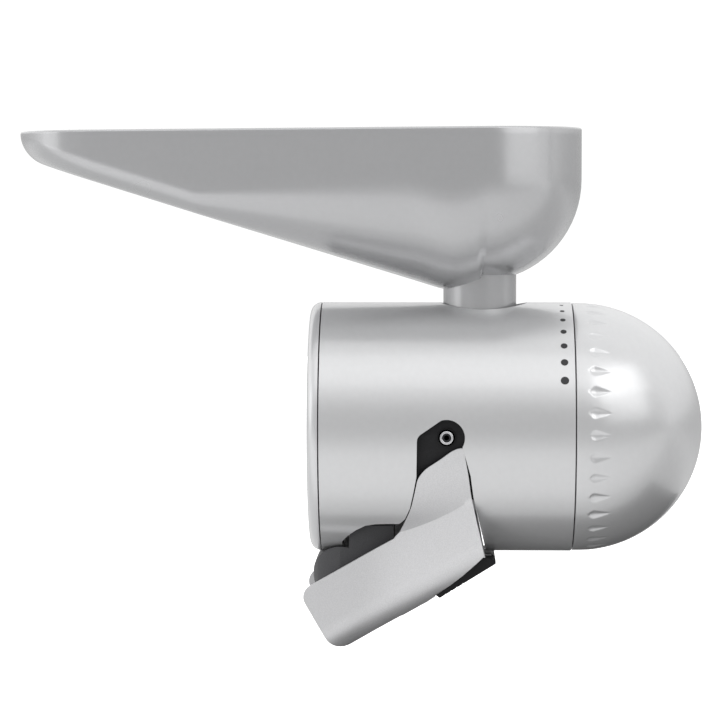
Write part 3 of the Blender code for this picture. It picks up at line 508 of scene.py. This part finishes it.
DOT_X = 100.3 * MM
DOT_FIRST = 24.9
DOT_STEP = 9.05
DOT_WIDTHS = (3.25, 2.9, 2.65, 2.4, 2.15, 1.85, 1.5)


def make_dots():
    """The fineness scale: round printed dots that shrink from coarse to fine."""
    for number, width in enumerate(DOT_WIDTHS):
        middle = math.radians(DOT_FIRST + DOT_STEP * number)
        bm = bmesh.new()
        layers = []
        for lift in (0.01 * MM, 0.05 * MM):
            r = BODY_R + lift
            centre = bm.verts.new((DOT_X, -r * math.cos(middle), r * math.sin(middle)))
            rings = []
            for share in (0.5, 1.0):
                row = []
                for i in range(32):
                    a = FULL_TURN * i / 32
                    reach = width / 2 * MM * share
                    turn = middle + reach * math.sin(a) / r
                    x = DOT_X + reach * math.cos(a)
                    row.append(bm.verts.new((x, -r * math.cos(turn), r * math.sin(turn))))
                rings.append(row)
            layers.append((centre, rings))
        for centre, rings in layers:
            grid_faces(bm, rings)
            for i in range(32):
                bm.faces.new((centre, rings[0][i], rings[0][(i + 1) % 32]))
        grid_faces(bm, [layers[0][1][1], layers[1][1][1]])
        dot = link(f"scale_dot_{number + 1}", bm)
        finished(dot, "barrel", PRINT, "black_plastic")


# ---------------------------------------------------------------- hopper

HOPPER_BACK_R = (HOPPER_HIGH.y - HOPPER_LOW.y) / 2
HOPPER_BACK_X = HOPPER_HIGH.x - HOPPER_BACK_R
HOPPER_TIP_R = 33 * MM
HOPPER_RIM_Z = 119.2 * MM
HOPPER_RIM_SLOPE = 0.007
HOPPER_FLOOR_Z = 71.9 * MM
HOPPER_FLOOR_SLOPE = 0.312
HOPPER_BOWL_Z = 58.5 * MM
HOPPER_TIP_ROUND = 9 * MM
HOPPER_WALL = 2.2 * MM
RIM_ROUND = 0.9 * MM
STEM_R = 14.65 * MM
STEM_BORE_R = 12.4 * MM
STEM_TOP_Z = 64 * MM


def floor_height(x):
    """Height of the hopper's underside: a straight slope that eases into the level bowl."""
    slope = HOPPER_FLOOR_Z - HOPPER_FLOOR_SLOPE * x
    share = min(max((x - 50 * MM) / (25 * MM), 0), 1)
    ease = share * share * (3 - 2 * share)
    return slope + (HOPPER_BOWL_Z - slope) * ease if x < HOPPER_BACK_X else HOPPER_BOWL_Z


def rim_height(x):
    """Height of the hopper's rim, which leans very slightly."""
    return HOPPER_RIM_Z + HOPPER_RIM_SLOPE * x


def hopper_stations(straight, tip, back):
    """Two circles joined by straight sides, in plan: (centre x, radius, direction)."""
    tip_x = HOPPER_LOW.x + HOPPER_TIP_R
    lean = math.asin((HOPPER_BACK_R - HOPPER_TIP_R) / (HOPPER_BACK_X - tip_x))
    low = math.pi / 2 + lean
    places = [(i / straight, -low) for i in range(straight)]
    places += [(1, -low + 2 * low * i / back) for i in range(back)]
    places += [(1 - i / straight, low) for i in range(straight)]
    places += [(0, low + (FULL_TURN - 2 * low) * i / tip) for i in range(tip)]
    made = []
    for share, angle in places:
        centre = tip_x + (HOPPER_BACK_X - tip_x) * share
        radius = HOPPER_TIP_R + (HOPPER_BACK_R - HOPPER_TIP_R) * share
        made.append((centre, radius, Vector((math.cos(angle), math.sin(angle)))))
    return made


def corner_radius(centre, radius):
    """Radius between wall and floor, which grows from the tip to the bowl."""
    share = min(max((centre + 42 * MM) / (88 * MM), 0), 1)
    return min(HOPPER_TIP_ROUND + (HOPPER_BACK_R - HOPPER_TIP_ROUND) * share, radius)


def bowl_column(bm, station, inset, rim, turns=18, floors=8):
    """One profile of the bowl: down the wall, and along the floor to the centre line."""
    centre, radius, direction = station
    corner = corner_radius(centre, radius) - inset
    wall = radius - inset
    column = []
    x_wall = centre + direction.x * wall
    top = rim_height(x_wall) + rim
    bottom = floor_height(x_wall) + inset + corner
    for step in range(8):
        z = top + (bottom - top) * step / 8
        column.append(bm.verts.new((x_wall, direction.y * wall, z)))
    for step in range(turns + 1):
        angle = math.pi / 2 * step / turns
        out = wall - corner * (1 - math.cos(angle))
        x = centre + direction.x * out
        z = floor_height(x) + inset + corner * (1 - math.sin(angle))
        column.append(bm.verts.new((x, direction.y * out, z)))
    flat = wall - corner
    for step in range(1, floors + 1):
        out = flat * (1 - step / floors)
        x = centre + direction.x * out
        column.append(bm.verts.new((x, direction.y * out, floor_height(x) + inset)))
    return column


def make_hopper():
    """The bowl as one closed shell with a rounded rim, joined to its stem."""
    bm = bmesh.new()
    stations = hopper_stations(56, 48, 64)
    outside = [bowl_column(bm, s, 0, -RIM_ROUND) for s in stations]
    inside = [bowl_column(bm, s, HOPPER_WALL, -RIM_ROUND) for s in stations]
    for columns in (outside, inside):
        for near, far in zip(columns, columns[1:] + columns[:1]):
            for i in range(len(near) - 1):
                bm.faces.new((near[i], far[i], far[i + 1], near[i + 1]))
    crest = []
    for centre, radius, direction in stations:
        row = []
        for step in range(1, 8):
            angle = math.pi * step / 8
            out = radius - HOPPER_WALL / 2 + HOPPER_WALL / 2 * math.cos(angle)
            x = centre + direction.x * out
            z = rim_height(x) - RIM_ROUND + RIM_ROUND * math.sin(angle)
            row.append(bm.verts.new((x, direction.y * out, z)))
        crest.append(row)
    for k in range(len(stations)):
        n = (k + 1) % len(stations)
        left = [outside[k][0]] + crest[k] + [inside[k][0]]
        right = [outside[n][0]] + crest[n] + [inside[n][0]]
        for i in range(len(left) - 1):
            bm.faces.new((left[i], right[i], right[i + 1], left[i + 1]))
    bmesh.ops.remove_doubles(bm, verts=bm.verts, dist=0.000012)
    flat = [face for face in bm.faces if face.calc_area() < 1e-13]
    bmesh.ops.delete(bm, geom=flat, context="FACES_ONLY")
    hopper = link("hopper_shell", bm, 40)
    bottom = HOPPER_LOW.z
    top = STEM_TOP_Z
    stem = rod("stem", (HOPPER_BACK_X, 0, (bottom + top) / 2), (0, 0, 1), STEM_R, top - bottom, 128)
    boolean(hopper, stem, "UNION")
    bore = rod("bore", (HOPPER_BACK_X, 0, 45 * MM), (0, 0, 1), STEM_BORE_R, 60 * MM, 96)
    boolean(hopper, bore)
    hopper.data.shade_smooth()
    hopper.data.set_sharp_from_angle(angle=math.radians(35))
    return finished(hopper, "hopper", HOPPER_PAINT, "silver_paint", "hopper")


# ---------------------------------------------------------------- chute

SPOUT_ANGLE = math.radians(30)
SPOUT_HEEL = Vector((10.74 * MM, -89.75 * MM))
SPOUT_DEPTH = 29.5 * MM
SPOUT_HALF_WIDTH = 27 * MM
SPOUT_SPREAD_X = 29.4 * MM
SPOUT_SPREAD = 0.456
TONGUE_HALF_WIDTH = 21.3 * MM
CHEEK_INSIDE = 22 * MM
LUG_INSIDE = 9 * MM
LUG_OUTSIDE = 11.5 * MM
SPOUT_WALL = 2.2 * MM
SPOUT_CORNER_R = 15 * MM
SPOUT_EASE = 10 * MM
PIN_BORE_R = 1.2 * MM
PIN_BORE_LENGTH = 26.6 * MM
# The corner below this line, in millimetres of x and z, is cut off beside the latch
CHUTE_SIDE_CUT = (
    (45.0, -70.0),
    (50.0, -65.0),
    (55.5, -60.8),
    (60.8, -56.2),
    (66.5, -50.6),
    (70.6, -46.2),
    (80.0, -46.2),
    (80.0, -75.0),
    (45.0, -75.0),
)
GUARD_RISE_X = 15.9 * MM


def chute_point(along, up):
    """A point given by its way along the slanted heel and its height above it."""
    run = Vector((math.cos(SPOUT_ANGLE), math.sin(SPOUT_ANGLE)))
    rise = Vector((-run.y, run.x))
    return SPOUT_HEEL + run * along + rise * up


def chute_outline():
    """The chute from the side: outlet, top edge, arm with its slanted end, rear and heel."""
    foot = arc((0, 0), 8 * MM, 270, 180, 14)
    lip = arc((0, 0), 5 * MM, 180, 90, 10)
    points = [tuple(chute_point(8 * MM + a, 8 * MM + b)) for a, b in foot]
    points += [tuple(chute_point(5 * MM + a, SPOUT_DEPTH - 5 * MM + b)) for a, b in lip]
    arm = [(33.5, -42.3), (36.0, -40.0), (38.6, -34.3), (40.6, -29.6), (42.1, -23.0), (43.3, -17.0)]
    end = [(46.2, -13.4), (52.0, -9.6), (56.4, -6.3), (59.0, -5.2), (61.0, -4.9)]
    rear = [(63.0, -16.0), (64.1, -24.4), (67.6, -40.0), (69.5, -48.8), (70.3, -52.2)]
    heel = [(51.0, -65.5), (43.5, -70.1), (36.0, -75.2)]
    side = [(x * MM, z * MM) for x, z in arm + end + rear + heel]
    return points + rounded(side, 2.2 * MM, 4)[2:-2]


def chute_half_width(x):
    """Half the distance between the upright sides, which ease into their spread."""
    past = x - SPOUT_SPREAD_X
    if past < -SPOUT_EASE:
        return SPOUT_HALF_WIDTH
    if past < SPOUT_EASE:
        return SPOUT_HALF_WIDTH + SPOUT_SPREAD * (past + SPOUT_EASE) ** 2 / (4 * SPOUT_EASE)
    return SPOUT_HALF_WIDTH + SPOUT_SPREAD * past


def chute_section(x, inset):
    """Half of the chute at one x: barrel surface, upright side, round corner, flat heel."""
    half = chute_half_width(x) - inset
    barrel = BODY_R - 0.1 * MM - inset
    top = 4 * MM + inset
    crease = -math.sqrt(max(barrel**2 - half**2, 0))
    points = []
    for step in range(21):
        z = top + (crease - top) * step / 20
        points.append((math.sqrt(barrel**2 - z**2), z))
    heel = chute_point(0, 0).y + math.tan(SPOUT_ANGLE) * (x - SPOUT_HEEL.x) + inset
    corner = SPOUT_CORNER_R - inset
    drop = heel + corner - crease
    points += [(half, crease + drop * step / 6) for step in range(1, 6)]
    points += [(half - corner + b, heel + corner - a) for a, b in arc((0, 0), corner, 90, 0, 12)]
    return points


def chute_solid(inset, start, end):
    """The chute's whole outside, or its inside by an inset, before it is trimmed."""
    count = 60
    bm = bmesh.new()
    rows = []
    for step in range(count + 1):
        x = start + (end - start) * step / count
        half = chute_section(x, inset)
        right = [(x, y, z) for y, z in half]
        left = [(x, -y, z) for y, z in reversed(half)]
        rows.append([bm.verts.new(p) for p in right + left])
    grid_faces(bm, rows)
    bm.faces.new(rows[0][::-1])
    bm.faces.new(rows[-1])
    return link("chute_solid", bm)


def pin_bore():
    """The cutter for the lever pin's bore."""
    return rod("pin_bore", (PIN_LOW + PIN_HIGH) / 2, (0, 1, 0), PIN_BORE_R, PIN_BORE_LENGTH, 24)


def make_chute():
    """The chute with its two arms, the pocket and tongue for the lever, and the lever's lugs."""
    chute = chute_solid(0, -10 * MM, 74 * MM)
    chute.name = "chute_shell"
    boolean(chute, chute_solid(SPOUT_WALL, -12 * MM, 67.2 * MM))
    boolean(chute, outline_solid("trim", chute_outline(), -60 * MM, 60 * MM), "INTERSECT")
    opening = LATCH_HIGH.y + GAP
    side_cut = [(x * MM, z * MM) for x, z in CHUTE_SIDE_CUT]
    for side in (-1, 1):
        low, high = sorted((side * opening, side * 60 * MM))
        boolean(chute, outline_solid("side_cut", side_cut, low, high))
    pocket = [tuple(chute_point(46.1 * MM, b * MM)) for b in (-5, 3)]
    pocket += [(x * MM, z * MM) for x, z in [(66.95, -50.5), (80, -50.5), (80, -80)]]
    boolean(chute, outline_solid("pocket", pocket, -opening - 0.01 * MM, opening + 0.01 * MM))
    tongue = [(42, 1), (45.8, 1), (45.8, 1.9), (66, 1.9), (66, 3.9), (42, 3.9)]
    tongue = [tuple(chute_point(a * MM, b * MM)) for a, b in tongue]
    boolean(chute, outline_solid("tongue", tongue, -TONGUE_HALF_WIDTH, TONGUE_HALF_WIDTH), "UNION")
    lug = [(65.0, -55.0), (69.6, -55.2), (71.4, -54.2), (72.6, -53.4), (72.6, -50.7), (69.4, -50.7)]
    lug += [(69.4, -49.8), (67.4, -49.8), (65.0, -52.0)]
    lug = [(x * MM, z * MM) for x, z in lug]
    for side in (-1, 1):
        low, high = sorted((side * LUG_INSIDE, side * LUG_OUTSIDE))
        boolean(chute, outline_solid("lug", lug, low, high), "UNION")
    boolean(chute, pin_bore())
    soften(chute, 0.5 * MM, 3, 40)
    return finished(chute, "spout", SATIN, "satin_silver", "spout")


def make_latch():
    """The black lever: plate and knuckle, two cheeks, notches for the lugs, finger ribs."""
    bottom = [(50.3, -65.4), (51.9, -66.6), (74.1, -52.9), (74.1, -51.8), (72.4, -50.9)]
    knuckle = [(68.9, -50.9), (67.9, -52.2), (67.9, -54.9), (51.0, -64.7)]
    cheek = [(67.2, -50.9), (65.5, -52.4), (61.4, -56.9), (57.3, -60.0), (54.0, -62.2)]
    cheek.append((50.7, -64.4))
    plate = [(x * MM, z * MM) for x, z in bottom + knuckle]
    cheek = [(x * MM, z * MM) for x, z in bottom + cheek]
    latch = outline_solid("latch_lever", plate, LATCH_LOW.y, LATCH_HIGH.y)
    for side in (-1, 1):
        low, high = sorted((side * CHEEK_INSIDE, side * LATCH_HIGH.y))
        boolean(latch, outline_solid("cheek", cheek, low, high), "UNION")
        near, far = sorted((side * (LUG_INSIDE - GAP), side * (LUG_OUTSIDE + GAP)))
        boolean(latch, block("notch", (66.9 * MM, near, -60 * MM), (76 * MM, far, -45 * MM)))
    for i in range(4):
        place = Vector((54.4 * MM, 0, -65.5 * MM)) + Vector((2.3 * MM, 0, 1.42 * MM)) * i
        boolean(latch, rod("rib", place, (0, 1, 0), 0.55 * MM, 60 * MM, 16))
    boolean(latch, pin_bore())
    soften(latch, 0.25 * MM, 2, 40)
    return finished(latch, "latch", BLACK, "black_plastic", "spout_latch")


def make_guard():
    """The dark hood over the chute's mouth, rounded in side view and in plan."""
    nose = arc((12.7 * MM, -58.0 * MM), 11.5 * MM, 74, 240, 36)
    body = [(22.0, -64.0), (33.5, -58.0), (33.5, -38.0)]
    outline = nose + [(x * MM, z * MM) for x, z in body]
    outline.append((GUARD_RISE_X, -38 * MM))
    guard = outline_solid("guard_hood", outline, GUARD_LOW.y, GUARD_HIGH.y)
    plan = [(0.6, 0), (0.9, 7), (1.5, 11), (3.6, 16), (7.4, 20), (13.0, 22.4), (40, 22.4)]
    plan = rounded([(x * MM, y * MM) for x, y in plan], 4 * MM, 4)[5:-5]
    plan = [(0.6 * MM, 0)] + plan + [(40 * MM, 22.4 * MM)]
    plan += [(x, -y) for x, y in reversed(plan[1:])]
    bm = bmesh.new()
    rings = [[bm.verts.new((x, y, z * MM)) for x, y in plan] for z in (-80, -30)]
    grid_faces(bm, rings)
    bm.faces.new(rings[0])
    bm.faces.new(rings[1])
    boolean(guard, link("plan", bm), "INTERSECT")
    barrel_end = GUARD_RISE_X - 0.2 * MM
    start = -20 * MM
    middle = ((start + barrel_end) / 2, 0, 0)
    boolean(guard, rod("barrel", middle, (1, 0, 0), BODY_R + GAP, barrel_end - start, 192))
    boolean(guard, rod("chamber", (45 * MM, 0, 0), (1, 0, 0), 39.7 * MM, 70 * MM, 192))
    soften(guard, 1.0 * MM, 3, 40)
    return finished(guard, "barrel", DARK, "dark_plastic", "chute_guard")


def make_side_fittings():
    """On each side, the ring round the screw, its hollow head, and a dark disc that paints the
    shade on the socket's floor.
    """
    for side, name in ((-1, "near"), (1, "far")):
        low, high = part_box(f"side_screw_{name}")
        centre = Vector((PIVOT.x, 0, PIVOT.z))
        across = Vector((0, side, 0))
        face = centre + across * PAD_R
        boss = rod(f"screw_boss_{name}", face + across * 0.3 * MM, across, 3.6 * MM, 1.4 * MM, 64)
        boolean(boss, rod("bore", face, across, 3.0 * MM, 8 * MM, 48))
        soften(boss, 0.35 * MM, 3, 40)
        finished(boss, "barrel", BLACK, "black_plastic")
        top = centre + across * max(abs(low.y), abs(high.y))
        head = rod(f"screw_head_{name}", top - across * 0.85 * MM, across, 2.65 * MM, 1.7 * MM, 64)
        boolean(head, rod("counterbore", top, across, 1.75 * MM, 2.4 * MM, 48))
        soften(head, 0.3 * MM, 4, 40)
        shank = rod("shank", top - across * 4.4 * MM, across, 1.4 * MM, 6.0 * MM, 32)
        boolean(head, shank, "UNION")
        head.data.shade_smooth()
        head.data.set_sharp_from_angle(angle=math.radians(40))
        finished(head, "barrel", CHROME, "chrome", f"side_screw_{name}")
        # A dark disc at the socket's floor paints the shade inside the hollow head
        floor = top - across * 1.0 * MM
        socket = rod(f"screw_socket_shade_{name}", floor, across, 1.73 * MM, 0.35 * MM, 48)
        boolean(socket, rod("hexagon", top - across * 0.9 * MM, across, 1.15 * MM, 0.8 * MM, 6))
        soften(socket, 0.08 * MM, 2, 40)
        finished(socket, "barrel", SOCKET_SHADE_STEEL, "chrome")


# ---------------------------------------------------------------- parts kept from the frame

KEPT = {
    "steel": STEEL,
    "chrome": CHROME,
    "millstone": STONE,
    "bronze": BRONZE,
    "rubber": RUBBER,
    "feed_plastic": FEED,
    "black_plastic": BLACK,
    "dark_plastic": DARK,
    "silver_paint": PAINT,
    "satin_silver": SATIN,
}


def finish_kept_nodes():
    """Gives every node of the frame the finish of its slot."""
    slots = {s["node"]: s["material_slot"] for s in frame["record"]["subparts"]}
    for name, obj in frame["nodes"].items():
        obj.data.materials.clear()
        obj.data.materials.append(KEPT[slots[name]])


# ---------------------------------------------------------------- studio


def area_light(name, place, target, width, height, power):
    """A rectangular light aimed at a point."""
    data = bpy.data.lights.new(name, "AREA")
    data.shape = "RECTANGLE"
    data.size = width
    data.size_y = height
    data.energy = power
    light = bpy.data.objects.new(name, data)
    light.location = place
    aim = Vector(target) - Vector(place)
    light.rotation_euler = aim.to_track_quat("-Z", "Y").to_euler()
    bpy.context.scene.collection.objects.link(light)
    return light


CAMERA_PLACE = (0.0519, -1.185, 0.085)
CAMERA_TARGET = (0.02105, 0, 0.0253)
CAMERA_LENS = 145.7


def make_camera():
    """The camera of the main picture."""
    data = bpy.data.cameras.new("camera")
    data.lens = CAMERA_LENS
    data.sensor_width = 36
    data.clip_start = 0.05
    camera = bpy.data.objects.new("camera", data)
    camera.location = CAMERA_PLACE
    aim = Vector(CAMERA_TARGET) - Vector(CAMERA_PLACE)
    camera.rotation_euler = aim.to_track_quat("-Z", "Y").to_euler()
    bpy.context.scene.collection.objects.link(camera)
    bpy.context.scene.camera = camera


FLOOR_Z = -0.26
FLOOR_GLOW = 0.7
UNDER_CARD = (-0.01, 0.30, -0.045, 0.30)
UNDER_CARD_Z = -0.14

# Brightness of the surround by its angle about the drive axis: 0 in front, 90 overhead, -90 below
SURROUND = (
    (-180, 0.40),
    (-158, 0.66),
    (-130, 0.55),
    (-96, 0.52),
    (-74, 0.54),
    (-60, 0.80),
    (-20, 0.78),
    (-12, 0.50),
    (0, 0.30),
    (20, 0.34),
    (32, 0.68),
    (64, 0.70),
    (72, 0.74),
    (100, 0.98),
    (140, 0.94),
    (164, 0.80),
    (180, 0.40),
)
SURROUND_STRENGTH = 1.25
SURROUND_LEFT = 1.15
SURROUND_RIGHT = 0.95
BACKDROP_STRENGTH = 1.05

# Name, place, point aimed at, width, height and power in watts
MIDDLE = (0.03, 0, 0.03)
LIGHTS = (
    ("key", (0.05, -0.75, 1.1), MIDDLE, 1.8, 0.8, 2.4),
    ("right_panel", (0.80, -0.72, 0.62), MIDDLE, 0.90, 1.0, 2.4),
    ("side_panel", (0.20, -0.115, 0.12), (0.09, -0.03, 0.09), 0.16, 0.08, 0.022),
    ("hopper_fill", (-0.30, -0.42, -0.10), (-0.02, 0, 0.09), 0.30, 0.25, 1.0),
    ("left_panel", (-0.95, -0.30, 0.22), MIDDLE, 0.45, 0.50, 0.6),
)


def make_surround():
    """White to the camera, and soft bands of light and grey to the object."""
    world = bpy.data.worlds.new("studio")
    world.use_nodes = True
    tree = world.node_tree
    nodes, links = tree.nodes, tree.links
    place = nodes.new("ShaderNodeTexCoord")
    parts = nodes.new("ShaderNodeSeparateXYZ")
    links.new(place.outputs["Generated"], parts.inputs["Vector"])
    flip = nodes.new("ShaderNodeMath")
    flip.operation = "MULTIPLY"
    flip.inputs[1].default_value = -1
    links.new(parts.outputs["Y"], flip.inputs[0])
    angle = nodes.new("ShaderNodeMath")
    angle.operation = "ARCTAN2"
    links.new(parts.outputs["Z"], angle.inputs[0])
    links.new(flip.outputs["Value"], angle.inputs[1])
    share = nodes.new("ShaderNodeMapRange")
    share.inputs["From Min"].default_value = -math.pi
    share.inputs["From Max"].default_value = math.pi
    links.new(angle.outputs["Value"], share.inputs["Value"])
    ramp = nodes.new("ShaderNodeValToRGB")
    ramp.color_ramp.interpolation = "EASE"
    stops = ramp.color_ramp.elements
    for number, (degrees, light) in enumerate(SURROUND):
        position = (degrees + 180) / 360
        stop = stops[number] if number < 2 else stops.new(position)
        stop.position = position
        stop.color = (light, light, light, 1)
    links.new(share.outputs["Result"], ramp.inputs["Fac"])
    lit = nodes.new("ShaderNodeBackground")
    links.new(ramp.outputs["Color"], lit.inputs["Color"])
    side = nodes.new("ShaderNodeMapRange")
    side.inputs["From Min"].default_value = -1
    side.inputs["From Max"].default_value = 1
    side.inputs["To Min"].default_value = SURROUND_STRENGTH * SURROUND_LEFT
    side.inputs["To Max"].default_value = SURROUND_STRENGTH * SURROUND_RIGHT
    links.new(parts.outputs["X"], side.inputs["Value"])
    links.new(side.outputs["Result"], lit.inputs["Strength"])
    plain = nodes["Background"]
    plain.inputs["Color"].default_value = (1, 1, 1, 1)
    plain.inputs["Strength"].default_value = BACKDROP_STRENGTH
    seen = nodes.new("ShaderNodeLightPath")
    mix = nodes.new("ShaderNodeMixShader")
    links.new(seen.outputs["Is Camera Ray"], mix.inputs["Fac"])
    links.new(lit.outputs["Background"], mix.inputs[1])
    links.new(plain.outputs["Background"], mix.inputs[2])
    links.new(mix.outputs["Shader"], nodes["World Output"].inputs["Surface"])
    bpy.context.scene.world = world


def make_under_card():
    """A dark card below the barrel, unseen by the camera, that shades the barrel's underside."""
    material, _ = shader_of("card", (0.04, 0.04, 0.04), 0.9, 0.0)
    bm = bmesh.new()
    low_x, high_x, low_y, high_y = UNDER_CARD
    corners = ((low_x, low_y), (high_x, low_y), (high_x, high_y), (low_x, high_y))
    bm.faces.new([bm.verts.new((x, y, UNDER_CARD_Z)) for x, y in corners])
    card = link("under_card", bm)
    card.data.materials.append(material)
    card.visible_camera = False


def make_studio():
    """A pale floor under a pale surround, with large soft lights."""
    material, shader = shader_of("floor_paper", (0.93, 0.93, 0.93), 0.9, 0.0)
    tree = material.node_tree
    texture = noise(tree, 30, 2.0)
    light = tint(tree, texture.outputs["Fac"], (0.92, 0.92, 0.92), (0.94, 0.94, 0.94))
    tree.links.new(light, shader.inputs["Base Color"])
    shader.inputs["Emission Color"].default_value = (1, 1, 1, 1)
    shader.inputs["Emission Strength"].default_value = FLOOR_GLOW
    bm = bmesh.new()
    bmesh.ops.create_grid(bm, x_segments=1, y_segments=1, size=6)
    bmesh.ops.transform(bm, matrix=Matrix.Translation((0, 0, FLOOR_Z)), verts=bm.verts)
    floor = link("floor", bm)
    floor.data.materials.append(material)
    floor.visible_glossy = False
    floor.visible_diffuse = False
    make_surround()
    make_under_card()
    lights = {row[0]: area_light(*row) for row in LIGHTS}
    lights["side_panel"].visible_camera = False
    lights["hopper_fill"].visible_glossy = False
    bpy.context.scene.view_settings.view_transform = "Standard"


def main():
    make_camera()
    finish_kept_nodes()
    make_barrel()
    make_rear_cover()
    make_shank()
    make_dome()
    make_dots()
    make_hopper()
    make_chute()
    make_latch()
    make_guard()
    make_side_fittings()
    make_studio()


main()
bpy.context.view_layer.update()
